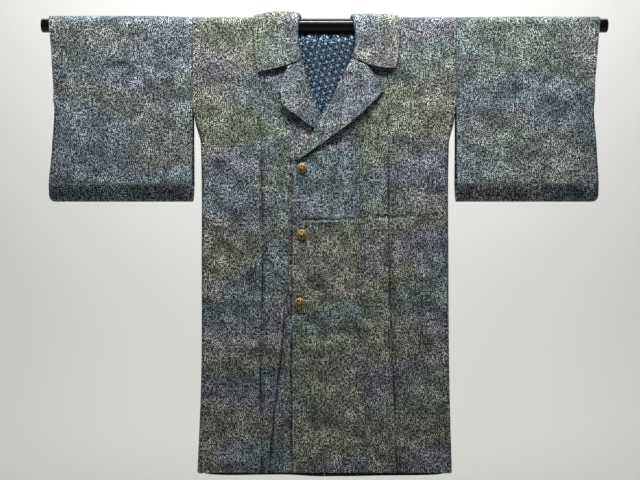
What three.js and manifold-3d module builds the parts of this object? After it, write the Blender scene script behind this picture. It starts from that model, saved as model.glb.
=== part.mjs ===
// A kimono coat with a tailored collar, hung flat on a pole that runs through both sleeves.
// Millimetres, +Z up. The front faces -Y, and +X is the wearer's left, on a viewer's right.
// The origin is on the pole's axis, at the middle of the coat.
//
// Every panel lies on one hanging shape. A place on it is (x, s): x across the coat, and s along
// the cloth from the shoulder line, below zero down the front and above zero down the back.
// A third number, the lift, is how far outside the outer face of the body cloth a point lies.
import * as THREE from "three";
import { mergeVertices } from "three/addons/utils/BufferGeometryUtils.js";
import Module from "manifold-3d";

const wasm = await Module();
wasm.setup();

// ---- Driving dimensions ----
const POLE_RADIUS = 17;
const POLE_LENGTH = 1372;
const POLE_CLEARANCE = 0.6;
const CLOTH = 2.4; // outer cloth, interfacing and lining together
const SEAM = 0.3; // space left between two sewn pieces
const SHOULDER_HALF = 318; // centre back to the armhole seam
const BODY_LENGTH = 1108; // shoulder line to the front hem
const SLEEVE_DROP = 448; // shoulder line to the sleeve's bottom fold
const ARMHOLE_DEPTH = 212; // shoulder line to the end of the armhole seam
const WRIST_OPENING = 200; // shoulder line to the end of the open cuff
const NECK_HALF = 82; // neckline at the shoulder line
const NECK_DROP = 24.5; // how far the back neckline falls below the neck's side points
const FRONT_EDGE_X = -77.5; // free edge of the upper front, past the coat's middle
const SIDE_CURL = 9; // rounding at side seams and sleeve ends
const SLEEVE_FOLD_HEIGHT = 44; // from where the sleeve's walls turn in, down to its bottom fold
const SLEEVE_FOLD_BLUNTNESS = 1.3; // 1 is a sharp V, 2 a round
const SLEEVE_CORNER = 15; // rounded lower corner of the sleeve

const SHOULDER_RADIUS = POLE_RADIUS + POLE_CLEARANCE + CLOTH;
const QUARTER = (SHOULDER_RADIUS * Math.PI) / 2; // shoulder line to the level of the pole's axis
const HEM_Z = SHOULDER_RADIUS - BODY_LENGTH;
const SLEEVE_BOTTOM_Z = SHOULDER_RADIUS - SLEEVE_DROP;
const SLEEVE_FOLD_Z = SLEEVE_BOTTOM_Z + SLEEVE_FOLD_HEIGHT;
const ARMHOLE_Z = SHOULDER_RADIUS - ARMHOLE_DEPTH;
const WRIST_Z = SHOULDER_RADIUS - WRIST_OPENING;
const CLOSED_SIDE_Z = -288; // below this the side seam is closed

// ---- Tables: a row for each section or fold ----

// Half depth of the hanging coat, from the pole's plane to the outer face.
const BODY_SECTIONS = [
  { z: 0, front: 20, back: 20 },
  { z: -60, front: 20, back: 20 },
  { z: -192, front: 19.2, back: 19 },
  { z: -450, front: 19.5, back: 18 },
  { z: -800, front: 21, back: 18.5 },
  { z: -1088, front: 23, back: 20 },
];
const SLEEVE_SECTIONS = [
  { z: 0, depth: 20 },
  { z: -60, depth: 20 },
  { z: -192, depth: 19 },
  { z: -310, depth: 21 },
  { z: -384, depth: 26 },
];

// Side edge of each body panel.
const SIDE_EDGE = [
  { z: -192, left: SHOULDER_HALF, right: SHOULDER_HALF },
  { z: -240, left: 312.5, right: 312 },
  { z: -288, left: 302, right: 300.5 },
  { z: -590, left: 301, right: 298.5 },
  { z: -850, left: 303, right: 299.5 },
  { z: -1088, left: 309, right: 308.5 },
];

// The back hem sags below the front one, most at x.
const BACK_SAG = { drop: 7, x: -57, width: 95, topZ: -960 };

// Seam between each body panel and its front overlap panel, and the pressed pleat beyond it.
const FRONT_LINES = [
  { z: 20, seam: NECK_HALF, leftPleat: 152, rightPleat: 158 },
  { z: -117, seam: 82, leftPleat: 153, rightPleat: 158 },
  { z: -366, seam: 84, leftPleat: 157, rightPleat: 150 },
  { z: -597, seam: 88, leftPleat: 159, rightPleat: 148 },
  { z: -815, seam: 95, leftPleat: 168, rightPleat: 151 },
  { z: -1088, seam: 101, leftPleat: 180, rightPleat: 147 },
];

// Soft troughs in the front, in the body panels.
const FRONT_FOLDS = [
  { topX: -97, topZ: -650, bottomX: -136, bottomZ: -1100, depth: 5, width: 9, fade: 110 },
  { topX: 160, topZ: -380, bottomX: 186, bottomZ: -1100, depth: 4, width: 15, fade: 260 },
  { topX: -152, topZ: -90, bottomX: -150, bottomZ: -1100, depth: 2.5, width: 8, fade: 120 },
  { topX: 262, topZ: -820, bottomX: 252, bottomZ: -1100, depth: 3.5, width: 48, fade: 160 },
];
const BACK_FOLDS = [
  { topX: -120, topZ: -300, bottomX: -135, bottomZ: -1100, depth: 3.5, width: 26, fade: 220 },
  { topX: 105, topZ: -420, bottomX: 128, bottomZ: -1100, depth: 4, width: 30, fade: 260 },
  { topX: 232, topZ: -260, bottomX: 240, bottomZ: -900, depth: 2.5, width: 24, fade: 200 },
];
const SLEEVE_FOLDS = [
  { topX: 465, topZ: -5, bottomX: 474, bottomZ: -330, depth: 3.5, width: 13, fade: 70 },
  { topX: 511, topZ: -60, bottomX: 518, bottomZ: -230, depth: 2.5, width: 11, fade: 60 },
  { topX: -560, topZ: -60, bottomX: -548, bottomZ: -360, depth: 2, width: 30, fade: 110 },
  { topX: -404, topZ: -40, bottomX: -396, bottomZ: -300, depth: 1.8, width: 24, fade: 90 },
];
const PLEAT = { step: 2.8, edge: 1.6, flat: 4, reach: 46, topZ: -70, fade: 70 };

// Cuff line of each sleeve, and the rise of its top over the pole.
const SLEEVE_ENDS = [
  { z: 20, left: 666, right: 667 },
  { z: -60, left: 659, right: 660 },
  { z: -178, left: 652.5, right: 655 },
  { z: -300, left: 660, right: 661 },
  { z: -383, left: 664, right: 668 },
  { z: -428, left: 665, right: 669 },
];
const SLEEVE_RISE = { left: 1.5, right: 3.2 };

// The collar, one row for each section from the wearer's right front end, round the back of the
// neck, to the left front end. seam, roll, middle and edge give x and s; the lifts are measured
// on the fold's outer leg, at the middle of the fall and at its free edge. steps is the number of
// strips up to the next section.
const COLLAR_SECTIONS = [
  { turn: 0, steps: 3, seamX: -81.5, seamS: -118.5, rollX: -56, rollS: -116.5,
    middleX: -90, middleS: -131.5, edgeX: -160.6, edgeS: -149,
    rollLift: 5, middleLift: 9.5, edgeLift: 6.5 },
  { turn: 1, steps: 2, seamX: -81.5, seamS: -81, rollX: -64, rollS: -80,
    middleX: -112, middleS: -92, edgeX: -168, edgeS: -105,
    rollLift: 5.5, middleLift: 9, edgeLift: 6 },
  { turn: 2, steps: 5, seamX: -81.5, seamS: -43.5, rollX: -65, rollS: -43,
    middleX: -115, middleS: -46, edgeX: -171, edgeS: -52,
    rollLift: 7.5, middleLift: 10.5, edgeLift: 5 },
  { turn: 3, steps: 3, seamX: -81.5, seamS: 0, rollX: -58.5, rollS: 0,
    middleX: -112, middleS: 0, edgeX: -171, edgeS: 0,
    rollLift: 10, middleLift: 14, edgeLift: 4.2 },
  { turn: 4, steps: 3, seamX: -77.5, seamS: 21, rollX: -55.5, rollS: 13,
    middleX: -106, middleS: 27, edgeX: -161, edgeS: 46,
    rollLift: 6.5, middleLift: 8.5, edgeLift: 4.2 },
  { turn: 5, steps: 3, seamX: -59, seamS: 33.4, rollX: -45, rollS: 17,
    middleX: -86, middleS: 52, edgeX: -130, edgeS: 88,
    rollLift: 5.5, middleLift: 7, edgeLift: 4.2 },
  { turn: 6, steps: 3, seamX: 0, seamS: 44.8, rollX: 0, rollS: 20,
    middleX: 0, middleS: 71, edgeX: 0, edgeS: 123,
    rollLift: 5, middleLift: 6.5, edgeLift: 4.2 },
  { turn: 7, steps: 3, seamX: 59, seamS: 33.4, rollX: 50, rollS: 17,
    middleX: 91, middleS: 52, edgeX: 137, edgeS: 88,
    rollLift: 5.5, middleLift: 7, edgeLift: 4.2 },
  { turn: 8, steps: 3, seamX: 77.5, seamS: 21, rollX: 62, rollS: 13,
    middleX: 112, middleS: 27, edgeX: 167, edgeS: 46,
    rollLift: 6, middleLift: 7, edgeLift: 4 },
  { turn: 9, steps: 5, seamX: 81.5, seamS: 0, rollX: 65, rollS: 0,
    middleX: 118, middleS: 0, edgeX: 177, edgeS: 0,
    rollLift: 6.5, middleLift: 8, edgeLift: 3.8 },
  { turn: 10, steps: 2, seamX: 81.5, seamS: -43.5, rollX: 73.5, rollS: -43,
    middleX: 124, middleS: -46, edgeX: 181, edgeS: -52,
    rollLift: 5, middleLift: 7, edgeLift: 4.2 },
  { turn: 11, steps: 2, seamX: 81.5, seamS: -79, rollX: 75, rollS: -77,
    middleX: 124, middleS: -89, edgeX: 178.5, edgeS: -96,
    rollLift: 5, middleLift: 9, edgeLift: 7 },
  { turn: 12, steps: 0, seamX: 81.5, seamS: -113.5, rollX: 67, rollS: -111,
    middleX: 102.5, middleS: -129.6, edgeX: 170.3, edgeS: -140.5,
    rollLift: 5, middleLift: 10.5, edgeLift: 13 },
];

// The lapels, a row for each section from the collar seam down to where the lapel ends.
const UPPER_LAPEL = [
  { rollX: 65.2, rollZ: -82.6, middleX: 101.2, middleZ: -101, edgeX: 146, edgeZ: -157.7,
    middleLift: 10.5, edgeLift: 6 },
  { rollX: 46, rollZ: -124, middleX: 84, middleZ: -153, edgeX: 125, edgeZ: -181,
    middleLift: 11, edgeLift: 11 },
  { rollX: 26, rollZ: -165, middleX: 59, middleZ: -190, edgeX: 92, edgeZ: -214,
    middleLift: 10, edgeLift: 14 },
  { rollX: 2, rollZ: -211, middleX: 27, middleZ: -231, edgeX: 51, edgeZ: -248,
    middleLift: 8.5, edgeLift: 13 },
  { rollX: -25, rollZ: -257, middleX: -10, middleZ: -270, edgeX: 5, edgeZ: -280,
    middleLift: 7, edgeLift: 9 },
  { rollX: -50, rollZ: -297, middleX: -42, middleZ: -303.5, edgeX: -34, edgeZ: -308,
    middleLift: 5.5, edgeLift: 6.5 },
  { rollX: -71, rollZ: -326, middleX: -66, middleZ: -327, edgeX: -60, edgeZ: -325,
    middleLift: 4.6, edgeLift: 4.6 },
];
const UNDER_LAPEL = [
  { rollX: -54.3, rollZ: -88.5, middleX: -88.8, middleZ: -102.8, edgeX: -109, edgeZ: -149.5,
    middleLift: 9.5, edgeLift: 9 },
  { rollX: -46, rollZ: -121, middleX: -77, middleZ: -141, edgeX: -105, edgeZ: -172,
    middleLift: 9, edgeLift: 8 },
  { rollX: -37, rollZ: -153, middleX: -68, middleZ: -176, edgeX: -99.6, edgeZ: -198,
    middleLift: 8, edgeLift: 8.5 },
  { rollX: -26, rollZ: -184, middleX: -50, middleZ: -204, edgeX: -72, edgeZ: -218.5,
    middleLift: 7, edgeLift: 9 },
  { rollX: -15, rollZ: -208, middleX: -32, middleZ: -226, edgeX: -46, edgeZ: -238,
    middleLift: 5.2, edgeLift: 7 },
  { rollX: -3, rollZ: -234, middleX: -12, middleZ: -244, edgeX: -20, edgeZ: -256,
    middleLift: 4.4, edgeLift: 4.4 },
];
const LAPEL_ROLL_LIFT = 4.2;

const BUTTONS = [
  { x: -54.7, z: -348, tilt: 4 },
  { x: -54.7, z: -508, tilt: -5 },
  { x: -60.5, z: -672.5, tilt: 3 },
];
const BUTTON = {
  radius: 12.6, rim: 1.3, dome: 5.2, petals: 6, relief: 0.7, steps: 36,
  shankWidth: 4.6, shankHeight: 2.2, stand: 1.7,
};
const BUTTONHOLE = { length: 14, height: 3.4, toEdge: 4 };

const LINING = {
  half: 165, thick: 1.2, gap: 0.5, topZ: -10.5, bottomZ: -335,
  bulge: 6.7, bulgeZ: -31, bulgeHeight: 13, flatX: 60, endX: 120, wave: 0.25, waveLength: 33,
};

// ---- Finishes ----
const finish = (color, roughness, metalness = 0) =>
  new THREE.MeshStandardMaterial({ color, roughness, metalness });
const FINISHES = {
  cloth: finish(0x5d6166, 0.8),
  lining: finish(0x27445c, 0.55),
  pole: finish(0x0b0c0a, 0.18, 0.4),
  button: finish(0xb98a3c, 0.32, 1),
};

// ---- Reading the tables ----

const clamp = (value, low, high) => Math.min(high, Math.max(low, value));
const lerp = (a, b, t) => a + (b - a) * t;
const smooth = (value, from, to) => {
  const t = clamp((value - from) / (to - from), 0, 1);
  return t * t * (3 - 2 * t);
};

// A column of a table read at a value of its key, on a smooth curve through the rows.
function reading(rows, key, value, column) {
  const last = rows.length - 1;
  const falling = rows[last][key] < rows[0][key] ? -1 : 1;
  const v = value * falling;
  if (v <= rows[0][key] * falling) return rows[0][column];
  if (v >= rows[last][key] * falling) return rows[last][column];
  let i = 0;
  while (v > rows[i + 1][key] * falling) i += 1;
  const slope = (k) => {
    const a = rows[Math.max(k - 1, 0)];
    const b = rows[Math.min(k + 1, last)];
    return (b[column] - a[column]) / (b[key] - a[key]);
  };
  const [a, b] = [rows[i], rows[i + 1]];
  const span = b[key] - a[key];
  const t = (value - a[key]) / span;
  const t2 = t * t;
  const t3 = t2 * t;
  return (
    (2 * t3 - 3 * t2 + 1) * a[column] + (t3 - 2 * t2 + t) * span * slope(i) +
    (3 * t2 - 2 * t3) * b[column] + (t3 - t2) * span * slope(i + 1)
  );
}

// ---- The hanging shape ----

// Depth of the troughs at a place, with a raised lip on each side of each one.
const LIP = { height: 0.3, off: 2.1 };
function foldDepth(folds, x, z) {
  let sum = 0;
  for (const f of folds) {
    const down = (f.topZ - z) / (f.topZ - f.bottomZ);
    if (down <= 0) continue;
    const off = Math.abs(x - lerp(f.topX, f.bottomX, down)) / f.width;
    const strength = smooth(f.topZ - z, 0, f.fade) * (1 - smooth(f.bottomZ - z, -f.fade / 2, 0));
    const lip = LIP.height * Math.exp(-((off - LIP.off) ** 2));
    sum += f.depth * strength * (Math.exp(-off * off) - lip);
  }
  return sum;
}

// The cloth beyond a pleat lies a layer higher, and sinks back towards the side.
function pleatStep(x, z) {
  const line = reading(FRONT_LINES, "z", z, x > 0 ? "leftPleat" : "rightPleat");
  const past = Math.abs(x) - line;
  const down = smooth(PLEAT.topZ - z, 0, PLEAT.fade);
  return down * PLEAT.step * smooth(past, -PLEAT.edge, PLEAT.edge) * (1 - smooth(past, PLEAT.flat, PLEAT.reach));
}

const frontDepth = (x, z) =>
  reading(BODY_SECTIONS, "z", z, "front") + pleatStep(x, z) - foldDepth(FRONT_FOLDS, x, z);
const backDepth = (x, z) => reading(BODY_SECTIONS, "z", z, "back") - foldDepth(BACK_FOLDS, x, z);

function sag(x, z) {
  const { drop, x: lowest, width, topZ } = BACK_SAG;
  return drop * smooth(-z, -topZ, -HEM_Z) * Math.exp(-(((x - lowest) / width) ** 2));
}

// The point at (x, s), moved out by lift. Depths come from the functions handed in.
function place(x, s, lift, front = frontDepth, back = backDepth, rise = 0) {
  if (s < -QUARTER) return [x, -(front(x, s + QUARTER) + lift), s + QUARTER];
  if (s > QUARTER) return [x, back(x, QUARTER - s) + lift, QUARTER - s - sag(x, QUARTER - s)];
  const turn = s / SHOULDER_RADIUS;
  const radius = SHOULDER_RADIUS + lift;
  return [x, radius * Math.sin(turn), (radius + rise) * Math.cos(turn)];
}
const frontS = (z) => z - QUARTER;
const backS = (z) => QUARTER - z;

// Lift of each front overlap panel: together they cross, one layer apart.
const OVERLAP = { layer: CLOTH + 1.15, seamX: 84, past: 1.05 };
// The upper front bulges where the lapel below it ends.
const BULGE = { lift: 5.8, x: -8, z: -236, width: 44, height: 46 };
const overlapShare = (fromSeam) => clamp(fromSeam / (OVERLAP.seamX - FRONT_EDGE_X), 0, OVERLAP.past);
function upperLift(x, z) {
  const off = ((x - BULGE.x) / BULGE.width) ** 2 + ((z - BULGE.z) / BULGE.height) ** 2;
  return OVERLAP.layer * overlapShare(OVERLAP.seamX - x) + BULGE.lift * Math.exp(-off);
}
const underLift = (x) => -OVERLAP.layer * overlapShare(OVERLAP.seamX + x);

// ---- Building walls ----

// One closed wall from two grids of points, its outer and inner faces. looped joins the last
// row to the first.
function wall(outer, inner, looped = false) {
  const rows = outer.length;
  const columns = outer[0].length;
  const positions = [...outer, ...inner].flat(2);
  const index = [];
  const at = (side, i, j) => (side * rows + (i % rows)) * columns + j;
  const quad = (a, b, c, d) => index.push(a, b, c, a, c, d);
  const J = columns - 1;
  const I = rows - 1;
  for (let i = 0; i < (looped ? rows : I); i++) {
    for (let j = 0; j < J; j++) {
      quad(at(0, i, j), at(0, i, j + 1), at(0, i + 1, j + 1), at(0, i + 1, j));
      quad(at(1, i, j), at(1, i + 1, j), at(1, i + 1, j + 1), at(1, i, j + 1));
    }
    quad(at(0, i, 0), at(0, i + 1, 0), at(1, i + 1, 0), at(1, i, 0));
    quad(at(0, i + 1, J), at(0, i, J), at(1, i, J), at(1, i + 1, J));
  }
  for (let j = 0; j < J && !looped; j++) {
    quad(at(0, 0, j + 1), at(0, 0, j), at(1, 0, j), at(1, 0, j + 1));
    quad(at(0, I, j), at(0, I, j + 1), at(1, I, j + 1), at(1, I, j));
  }
  return facingOut(positions, index);
}

// A geometry whose faces all point outwards.
function facingOut(positions, index) {
  const corner = (k) => new THREE.Vector3().fromArray(positions, 3 * index[k]);
  let volume = 0;
  for (let k = 0; k < index.length; k += 3) {
    volume += corner(k).dot(corner(k + 1).cross(corner(k + 2)));
  }
  if (volume < 0) index.reverse();
  const geometry = new THREE.BufferGeometry();
  geometry.setAttribute("position", new THREE.Float32BufferAttribute(positions, 3));
  geometry.setIndex(index);
  return geometry;
}

// A wall of the given thickness, half on each side of a grid of points.
function wallAround(grid, thickness) {
  const point = (i, j) => new THREE.Vector3(...grid[i][j]);
  const [I, J] = [grid.length - 1, grid[0].length - 1];
  const normal = (i, j) => {
    const down = point(Math.min(i + 1, I), j).sub(point(Math.max(i - 1, 0), j));
    const across = point(i, Math.min(j + 1, J)).sub(point(i, Math.max(j - 1, 0)));
    return down.cross(across).normalize();
  };
  const face = (out) =>
    grid.map((row, i) =>
      row.map((_, j) => point(i, j).addScaledVector(normal(i, j), (out * thickness) / 2).toArray()),
    );
  return wall(face(1), face(-1));
}

const solidOf = (geometry) => {
  const bare = mergeVertices(new THREE.BufferGeometry()
    .setAttribute("position", geometry.getAttribute("position"))
    .setIndex(geometry.index));
  return new wasm.Manifold(new wasm.Mesh({
    numProp: 3,
    vertProperties: bare.attributes.position.array,
    triVerts: new Uint32Array(bare.index.array),
  }));
};
const geometryOf = (solid) => {
  const mesh = solid.getMesh();
  return new THREE.BufferGeometry()
    .setAttribute("position", new THREE.BufferAttribute(mesh.vertProperties, 3))
    .setIndex(new THREE.BufferAttribute(mesh.triVerts, 1));
};

// ---- Body panels ----

// Front and back of one side are a single length of cloth over the shoulder, open at the armhole
// and meeting itself down the side seam.
const BODY_LEVELS = [HEM_Z, -1010, -900, -790, -680, -570, -460, -360, -288, -240, -192, -130, -75, -30];
const FRONT_ROWS = BODY_LEVELS.map(frontS);
const OVER_POLE = [-90, -60, -30, 0, 30, 60].map((turn) => (turn / 90) * QUARTER);
const NECK_BOTTOM = 45.4;
const NECK_ROWS = [31.4, 38, 43, NECK_BOTTOM];
const BACK_ROWS = BODY_LEVELS.toReversed().map(backS);
const BODY_ROWS = [...FRONT_ROWS, ...OVER_POLE, ...NECK_ROWS, ...BACK_ROWS.slice(1)];

function bodyInnerEdge(s) {
  if (s < 0) return reading(FRONT_LINES, "z", s + QUARTER, "seam") + SEAM / 2;
  const up = (NECK_BOTTOM - s) / NECK_DROP;
  return Math.max(NECK_HALF * Math.cbrt(clamp(up, 0, 1)), SEAM / 2);
}

function bodyPanel(side) {
  const outer = [];
  const inner = [];
  for (const s of BODY_ROWS) {
    const z = QUARTER - Math.abs(s);
    const from = bodyInnerEdge(s);
    const pleat = reading(FRONT_LINES, "z", z, side > 0 ? "leftPleat" : "rightPleat");
    const edge = reading(SIDE_EDGE, "z", z, side > 0 ? "left" : "right");
    const closed = smooth(-z, -ARMHOLE_Z, -CLOSED_SIDE_Z);
    const flatEnd = edge - SIDE_CURL;
    const across = [from, lerp(from, pleat, 0.5), pleat - 2, pleat + 2];
    for (const t of [0.3, 0.65, 1]) across.push(lerp(pleat + 2, flatEnd, t));
    const rowOut = across.map((x) => place(side * x, s, 0));
    const rowIn = across.map((x) => place(side * x, s, -CLOTH));
    for (const turn of [30, 60, 90].map(THREE.MathUtils.degToRad)) {
      const shut = 1 - closed * (1 - Math.cos(turn));
      const bend = (reach, lift) => {
        const p = place(side * (flatEnd + reach * Math.sin(turn)), s, lift);
        const depth = Math.max(Math.abs(p[1]) * shut, SEAM / 2);
        return z > 0 ? p : [p[0], Math.sign(s) * depth, p[2]];
      };
      rowOut.push(bend(SIDE_CURL, 0));
      rowIn.push(bend(SIDE_CURL - CLOTH * closed, -CLOTH));
    }
    outer.push(rowOut);
    inner.push(rowIn);
  }
  return wall(outer, inner);
}

// ---- Front overlap panels ----

// The fold of a lapel: its roll line, and how far from it the panel has to stop.
const ROLL_RADIUS = (LAPEL_ROLL_LIFT + CLOTH / 2) / 2;
const FOLD_JOIN = 1.3;
const PLAIN_END_Z = -335; // below this the free edge hangs straight
const rollX = (sections, z) => reading(sections, "rollZ", z, "rollX");
function panelEdge(sections, side, z) {
  const near = 4;
  const slope = (rollX(sections, z + near) - rollX(sections, z - near)) / (2 * near);
  return rollX(sections, z) + side * (ROLL_RADIUS + FOLD_JOIN) * Math.hypot(1, slope);
}

const OVERLAPS = {
  left: {
    side: 1, sections: UPPER_LAPEL, lift: upperLift, edgeX: FRONT_EDGE_X,
    levels: [HEM_Z, -990, -890, -790, -695, -600, -510, -430, -380, -336, -326, -312, -294, -275, -250,
      -225, -200, -170, -140, -110, -88],
    columns: [0, 0.18, 0.36, 0.52, 0.68, 0.84, 1],
  },
  right: {
    side: -1, sections: UNDER_LAPEL, lift: underLift, edgeX: -FRONT_EDGE_X,
    levels: [HEM_Z, -980, -870, -760, -640, -520, -420, -335, -300, -268, -246, -234, -222, -205, -180,
      -150, -120, -94],
    columns: [0, 0.2, 0.4, 0.6, 0.8, 1],
  },
};

function overlapPanel({ side, sections, lift, edgeX, levels, columns }) {
  const lapelEnd = sections.at(-1).rollZ;
  const plainEnd = Math.min(PLAIN_END_Z, lapelEnd);
  const rowAt = (z, depth) => {
    const seam = side * (reading(FRONT_LINES, "z", z, "seam") - SEAM / 2);
    let edge = edgeX;
    if (z > lapelEnd) edge = panelEdge(sections, side, z);
    else if (z > plainEnd) {
      edge = lerp(edgeX, panelEdge(sections, side, lapelEnd), (z - plainEnd) / (lapelEnd - plainEnd));
    }
    return columns.map((t) => {
      const x = lerp(seam, edge, t);
      return place(x, frontS(z), lift(x, z) - depth);
    });
  };
  return wall(levels.map((z) => rowAt(z, 0)), levels.map((z) => rowAt(z, CLOTH)));
}

// ---- Collar and lapels ----

// A turned-back section: along the standing leg, round the roll, and out to the free edge.
// Each point is { x, s, lift }.
function turnedSection(section, standing) {
  const { roll, middle, edge, rollLift, middleLift, edgeLift } = section;
  const out = new THREE.Vector2().subVectors(middle, roll).normalize();
  const radius = (rollLift + CLOTH / 2) / 2;
  const points = [...standing];
  for (const turn of [-90, -45, 0, 45, 90].map(THREE.MathUtils.degToRad)) {
    const away = radius * (1 - Math.cos(turn));
    points.push({
      x: roll.x + out.x * away,
      s: roll.y + out.y * away,
      lift: rollLift - radius + radius * Math.sin(turn),
    });
  }
  const start = points.at(-1);
  const curve = new THREE.CatmullRomCurve3([
    new THREE.Vector3(start.x, start.s, start.lift),
    new THREE.Vector3(middle.x, middle.y, middleLift),
    new THREE.Vector3(edge.x, edge.y, edgeLift),
  ], false, "chordal");
  for (const t of [0.25, 0.5, 0.75, 1]) {
    const p = curve.getPoint(t);
    points.push({ x: p.x, s: p.y, lift: p.z });
  }
  return points;
}

function collar() {
  const turns = COLLAR_SECTIONS.flatMap(({ turn, steps }) =>
    Array.from({ length: Math.max(steps, 1) }, (_, k) => turn + k / Math.max(steps, 1)));
  const grid = turns.map((turn) => {
    const read = (column) => reading(COLLAR_SECTIONS, "turn", turn, column);
    const section = {
      roll: new THREE.Vector2(read("rollX"), read("rollS")),
      middle: new THREE.Vector2(read("middleX"), read("middleS")),
      edge: new THREE.Vector2(read("edgeX"), read("edgeS")),
      rollLift: read("rollLift"), middleLift: read("middleLift"), edgeLift: read("edgeLift"),
    };
    const seam = new THREE.Vector2(read("seamX"), read("seamS"));
    const standing = [0, 0.25, 0.5, 0.75].map((t) => {
      const p = seam.clone().lerp(section.roll, t);
      return { x: p.x, s: p.y, lift: -CLOTH / 2 };
    });
    return turnedSection(section, standing).map(({ x, s, lift }) => place(x, s, lift));
  });
  return wallAround(grid, CLOTH);
}

function lapel(sections, lift, steps) {
  const rows = sections.map((row, turn) => ({ ...row, turn }));
  const grid = [];
  for (let k = 0; k <= steps; k++) {
    const turn = ((rows.length - 1) * k) / steps;
    const read = (column) => reading(rows, "turn", turn, column);
    const section = {
      roll: new THREE.Vector2(read("rollX"), frontS(read("rollZ"))),
      middle: new THREE.Vector2(read("middleX"), frontS(read("middleZ"))),
      edge: new THREE.Vector2(read("edgeX"), frontS(read("edgeZ"))),
      rollLift: LAPEL_ROLL_LIFT, middleLift: read("middleLift"), edgeLift: read("edgeLift"),
    };
    grid.push(turnedSection(section, []).map((p) =>
      place(p.x, p.s, p.lift + lift(p.x, p.s + QUARTER))));
  }
  return wallAround(grid, CLOTH);
}

// ---- Sleeves ----

// A tube round the pole: one cloth over the shoulder, folded at the bottom, open towards the body,
// open at the wrist, and sewn shut below it.
const SLEEVE_LEVELS = [SLEEVE_FOLD_Z, -340, -290, -240, -204, -179, -130, -75, -30];
const SLEEVE_CLOSING = 22; // the cuff closes over this height
const SLEEVE_SETTLE = 90; // its top rises from the shoulder over this width
const MID_FOLD = Math.PI / 2;
function sleeve(side) {
  const name = side > 0 ? "left" : "right";
  const depth = (x, z) =>
    reading(SLEEVE_SECTIONS, "z", z, "depth") - foldDepth(SLEEVE_FOLDS, x, z);
  const plain = (x, z) => reading(SLEEVE_SECTIONS, "z", z, "depth");
  const rise = (x) => SLEEVE_RISE[name] * smooth(Math.abs(x), SHOULDER_HALF, SHOULDER_HALF + SLEEVE_SETTLE);
  const rows = [
    ...SLEEVE_LEVELS.map(frontS),
    ...[-90, -60, -30, 0, 30, 60, 90].map((turn) => (turn / 90) * QUARTER),
    ...SLEEVE_LEVELS.toReversed().map(backS),
  ].map((s) => ({ s }));
  for (const turn of [150, 120, 90, 60, 30].map(THREE.MathUtils.degToRad)) rows.push({ turn });
  const blunt = (value) => Math.sign(value) * Math.abs(value) ** (2 / SLEEVE_FOLD_BLUNTNESS);

  // A point of the round bottom fold, or of the wall above it.
  const point = (row, x, lift) => {
    if (row.turn === undefined) return place(x, row.s, lift, depth, plain, rise(x));
    const half = row.turn < MID_FOLD ? depth(x, SLEEVE_FOLD_Z) : plain(x, SLEEVE_FOLD_Z);
    return [
      x,
      -(half + lift) * blunt(Math.cos(row.turn)),
      SLEEVE_FOLD_Z - (SLEEVE_FOLD_HEIGHT + lift) * blunt(Math.sin(row.turn)),
    ];
  };
  const inset = (z) => {
    const low = SLEEVE_BOTTOM_Z + SLEEVE_CORNER - z;
    return low < 0 ? 0 : SLEEVE_CORNER - Math.sqrt(Math.max(SLEEVE_CORNER ** 2 - low ** 2, 0));
  };
  const outer = [];
  const inner = [];
  for (const row of rows) {
    const z = point(row, 0, 0)[2];
    const edge = reading(SLEEVE_ENDS, "z", z, name) - inset(z);
    const closed = smooth(-z, -WRIST_Z, -WRIST_Z + SLEEVE_CLOSING);
    const from = SHOULDER_HALF + SEAM;
    const flatEnd = edge - SIDE_CURL;
    const across = [0, 0.14, 0.28, 0.42, 0.5, 0.58, 0.7, 0.85, 1].map((t) => lerp(from, flatEnd, t));
    const rowOut = across.map((x) => point(row, side * x, 0));
    const rowIn = across.map((x) => point(row, side * x, -CLOTH));
    for (const turn of [30, 60, 90].map(THREE.MathUtils.degToRad)) {
      const shut = 1 - closed * (1 - Math.cos(turn));
      const bend = (reach, lift) => {
        const p = point(row, side * (flatEnd + reach * Math.sin(turn)), lift);
        const depthHere = Math.max(Math.abs(p[1]) * shut, SEAM / 2);
        const atFold = row.turn !== undefined && Math.abs(row.turn - MID_FOLD) < 0.01;
        return closed > 0 && !atFold ? [p[0], Math.sign(p[1]) * depthHere, p[2]] : p;
      };
      rowOut.push(bend(SIDE_CURL, 0));
      rowIn.push(bend(SIDE_CURL - CLOTH * closed, -CLOTH));
    }
    outer.push(rowOut);
    inner.push(rowIn);
  }
  return wall(outer, inner, true);
}

// ---- Lining ----

// The lining that shows inside the neck opening, a little slack below the pole.
function backLining() {
  const { half, thick, gap, topZ, bottomZ, bulge, bulgeZ, bulgeHeight, flatX, endX } = LINING;
  const levels = [topZ, -15, -20, -27, -36, -48, -64, -90, -150, -230, bottomZ];
  const across = Array.from({ length: 25 }, (_, k) => lerp(-half, half, k / 24));
  const face = (depth) =>
    levels.map((z) =>
      across.map((x) => {
        const near = Math.exp(-(((z - bulgeZ) / bulgeHeight) ** 2)) * (1 - smooth(Math.abs(x), flatX, endX));
        const wave = 1 + LINING.wave * Math.cos((2 * Math.PI * x) / LINING.waveLength);
        return place(x, backS(z), -(CLOTH + gap + depth + bulge * near * wave));
      }),
    );
  return wall(face(0), face(thick));
}

// ---- Pole and buttons ----

function pole() {
  return new THREE.CylinderGeometry(POLE_RADIUS, POLE_RADIUS, POLE_LENGTH, 40)
    .rotateZ(Math.PI / 2);
}

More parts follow.
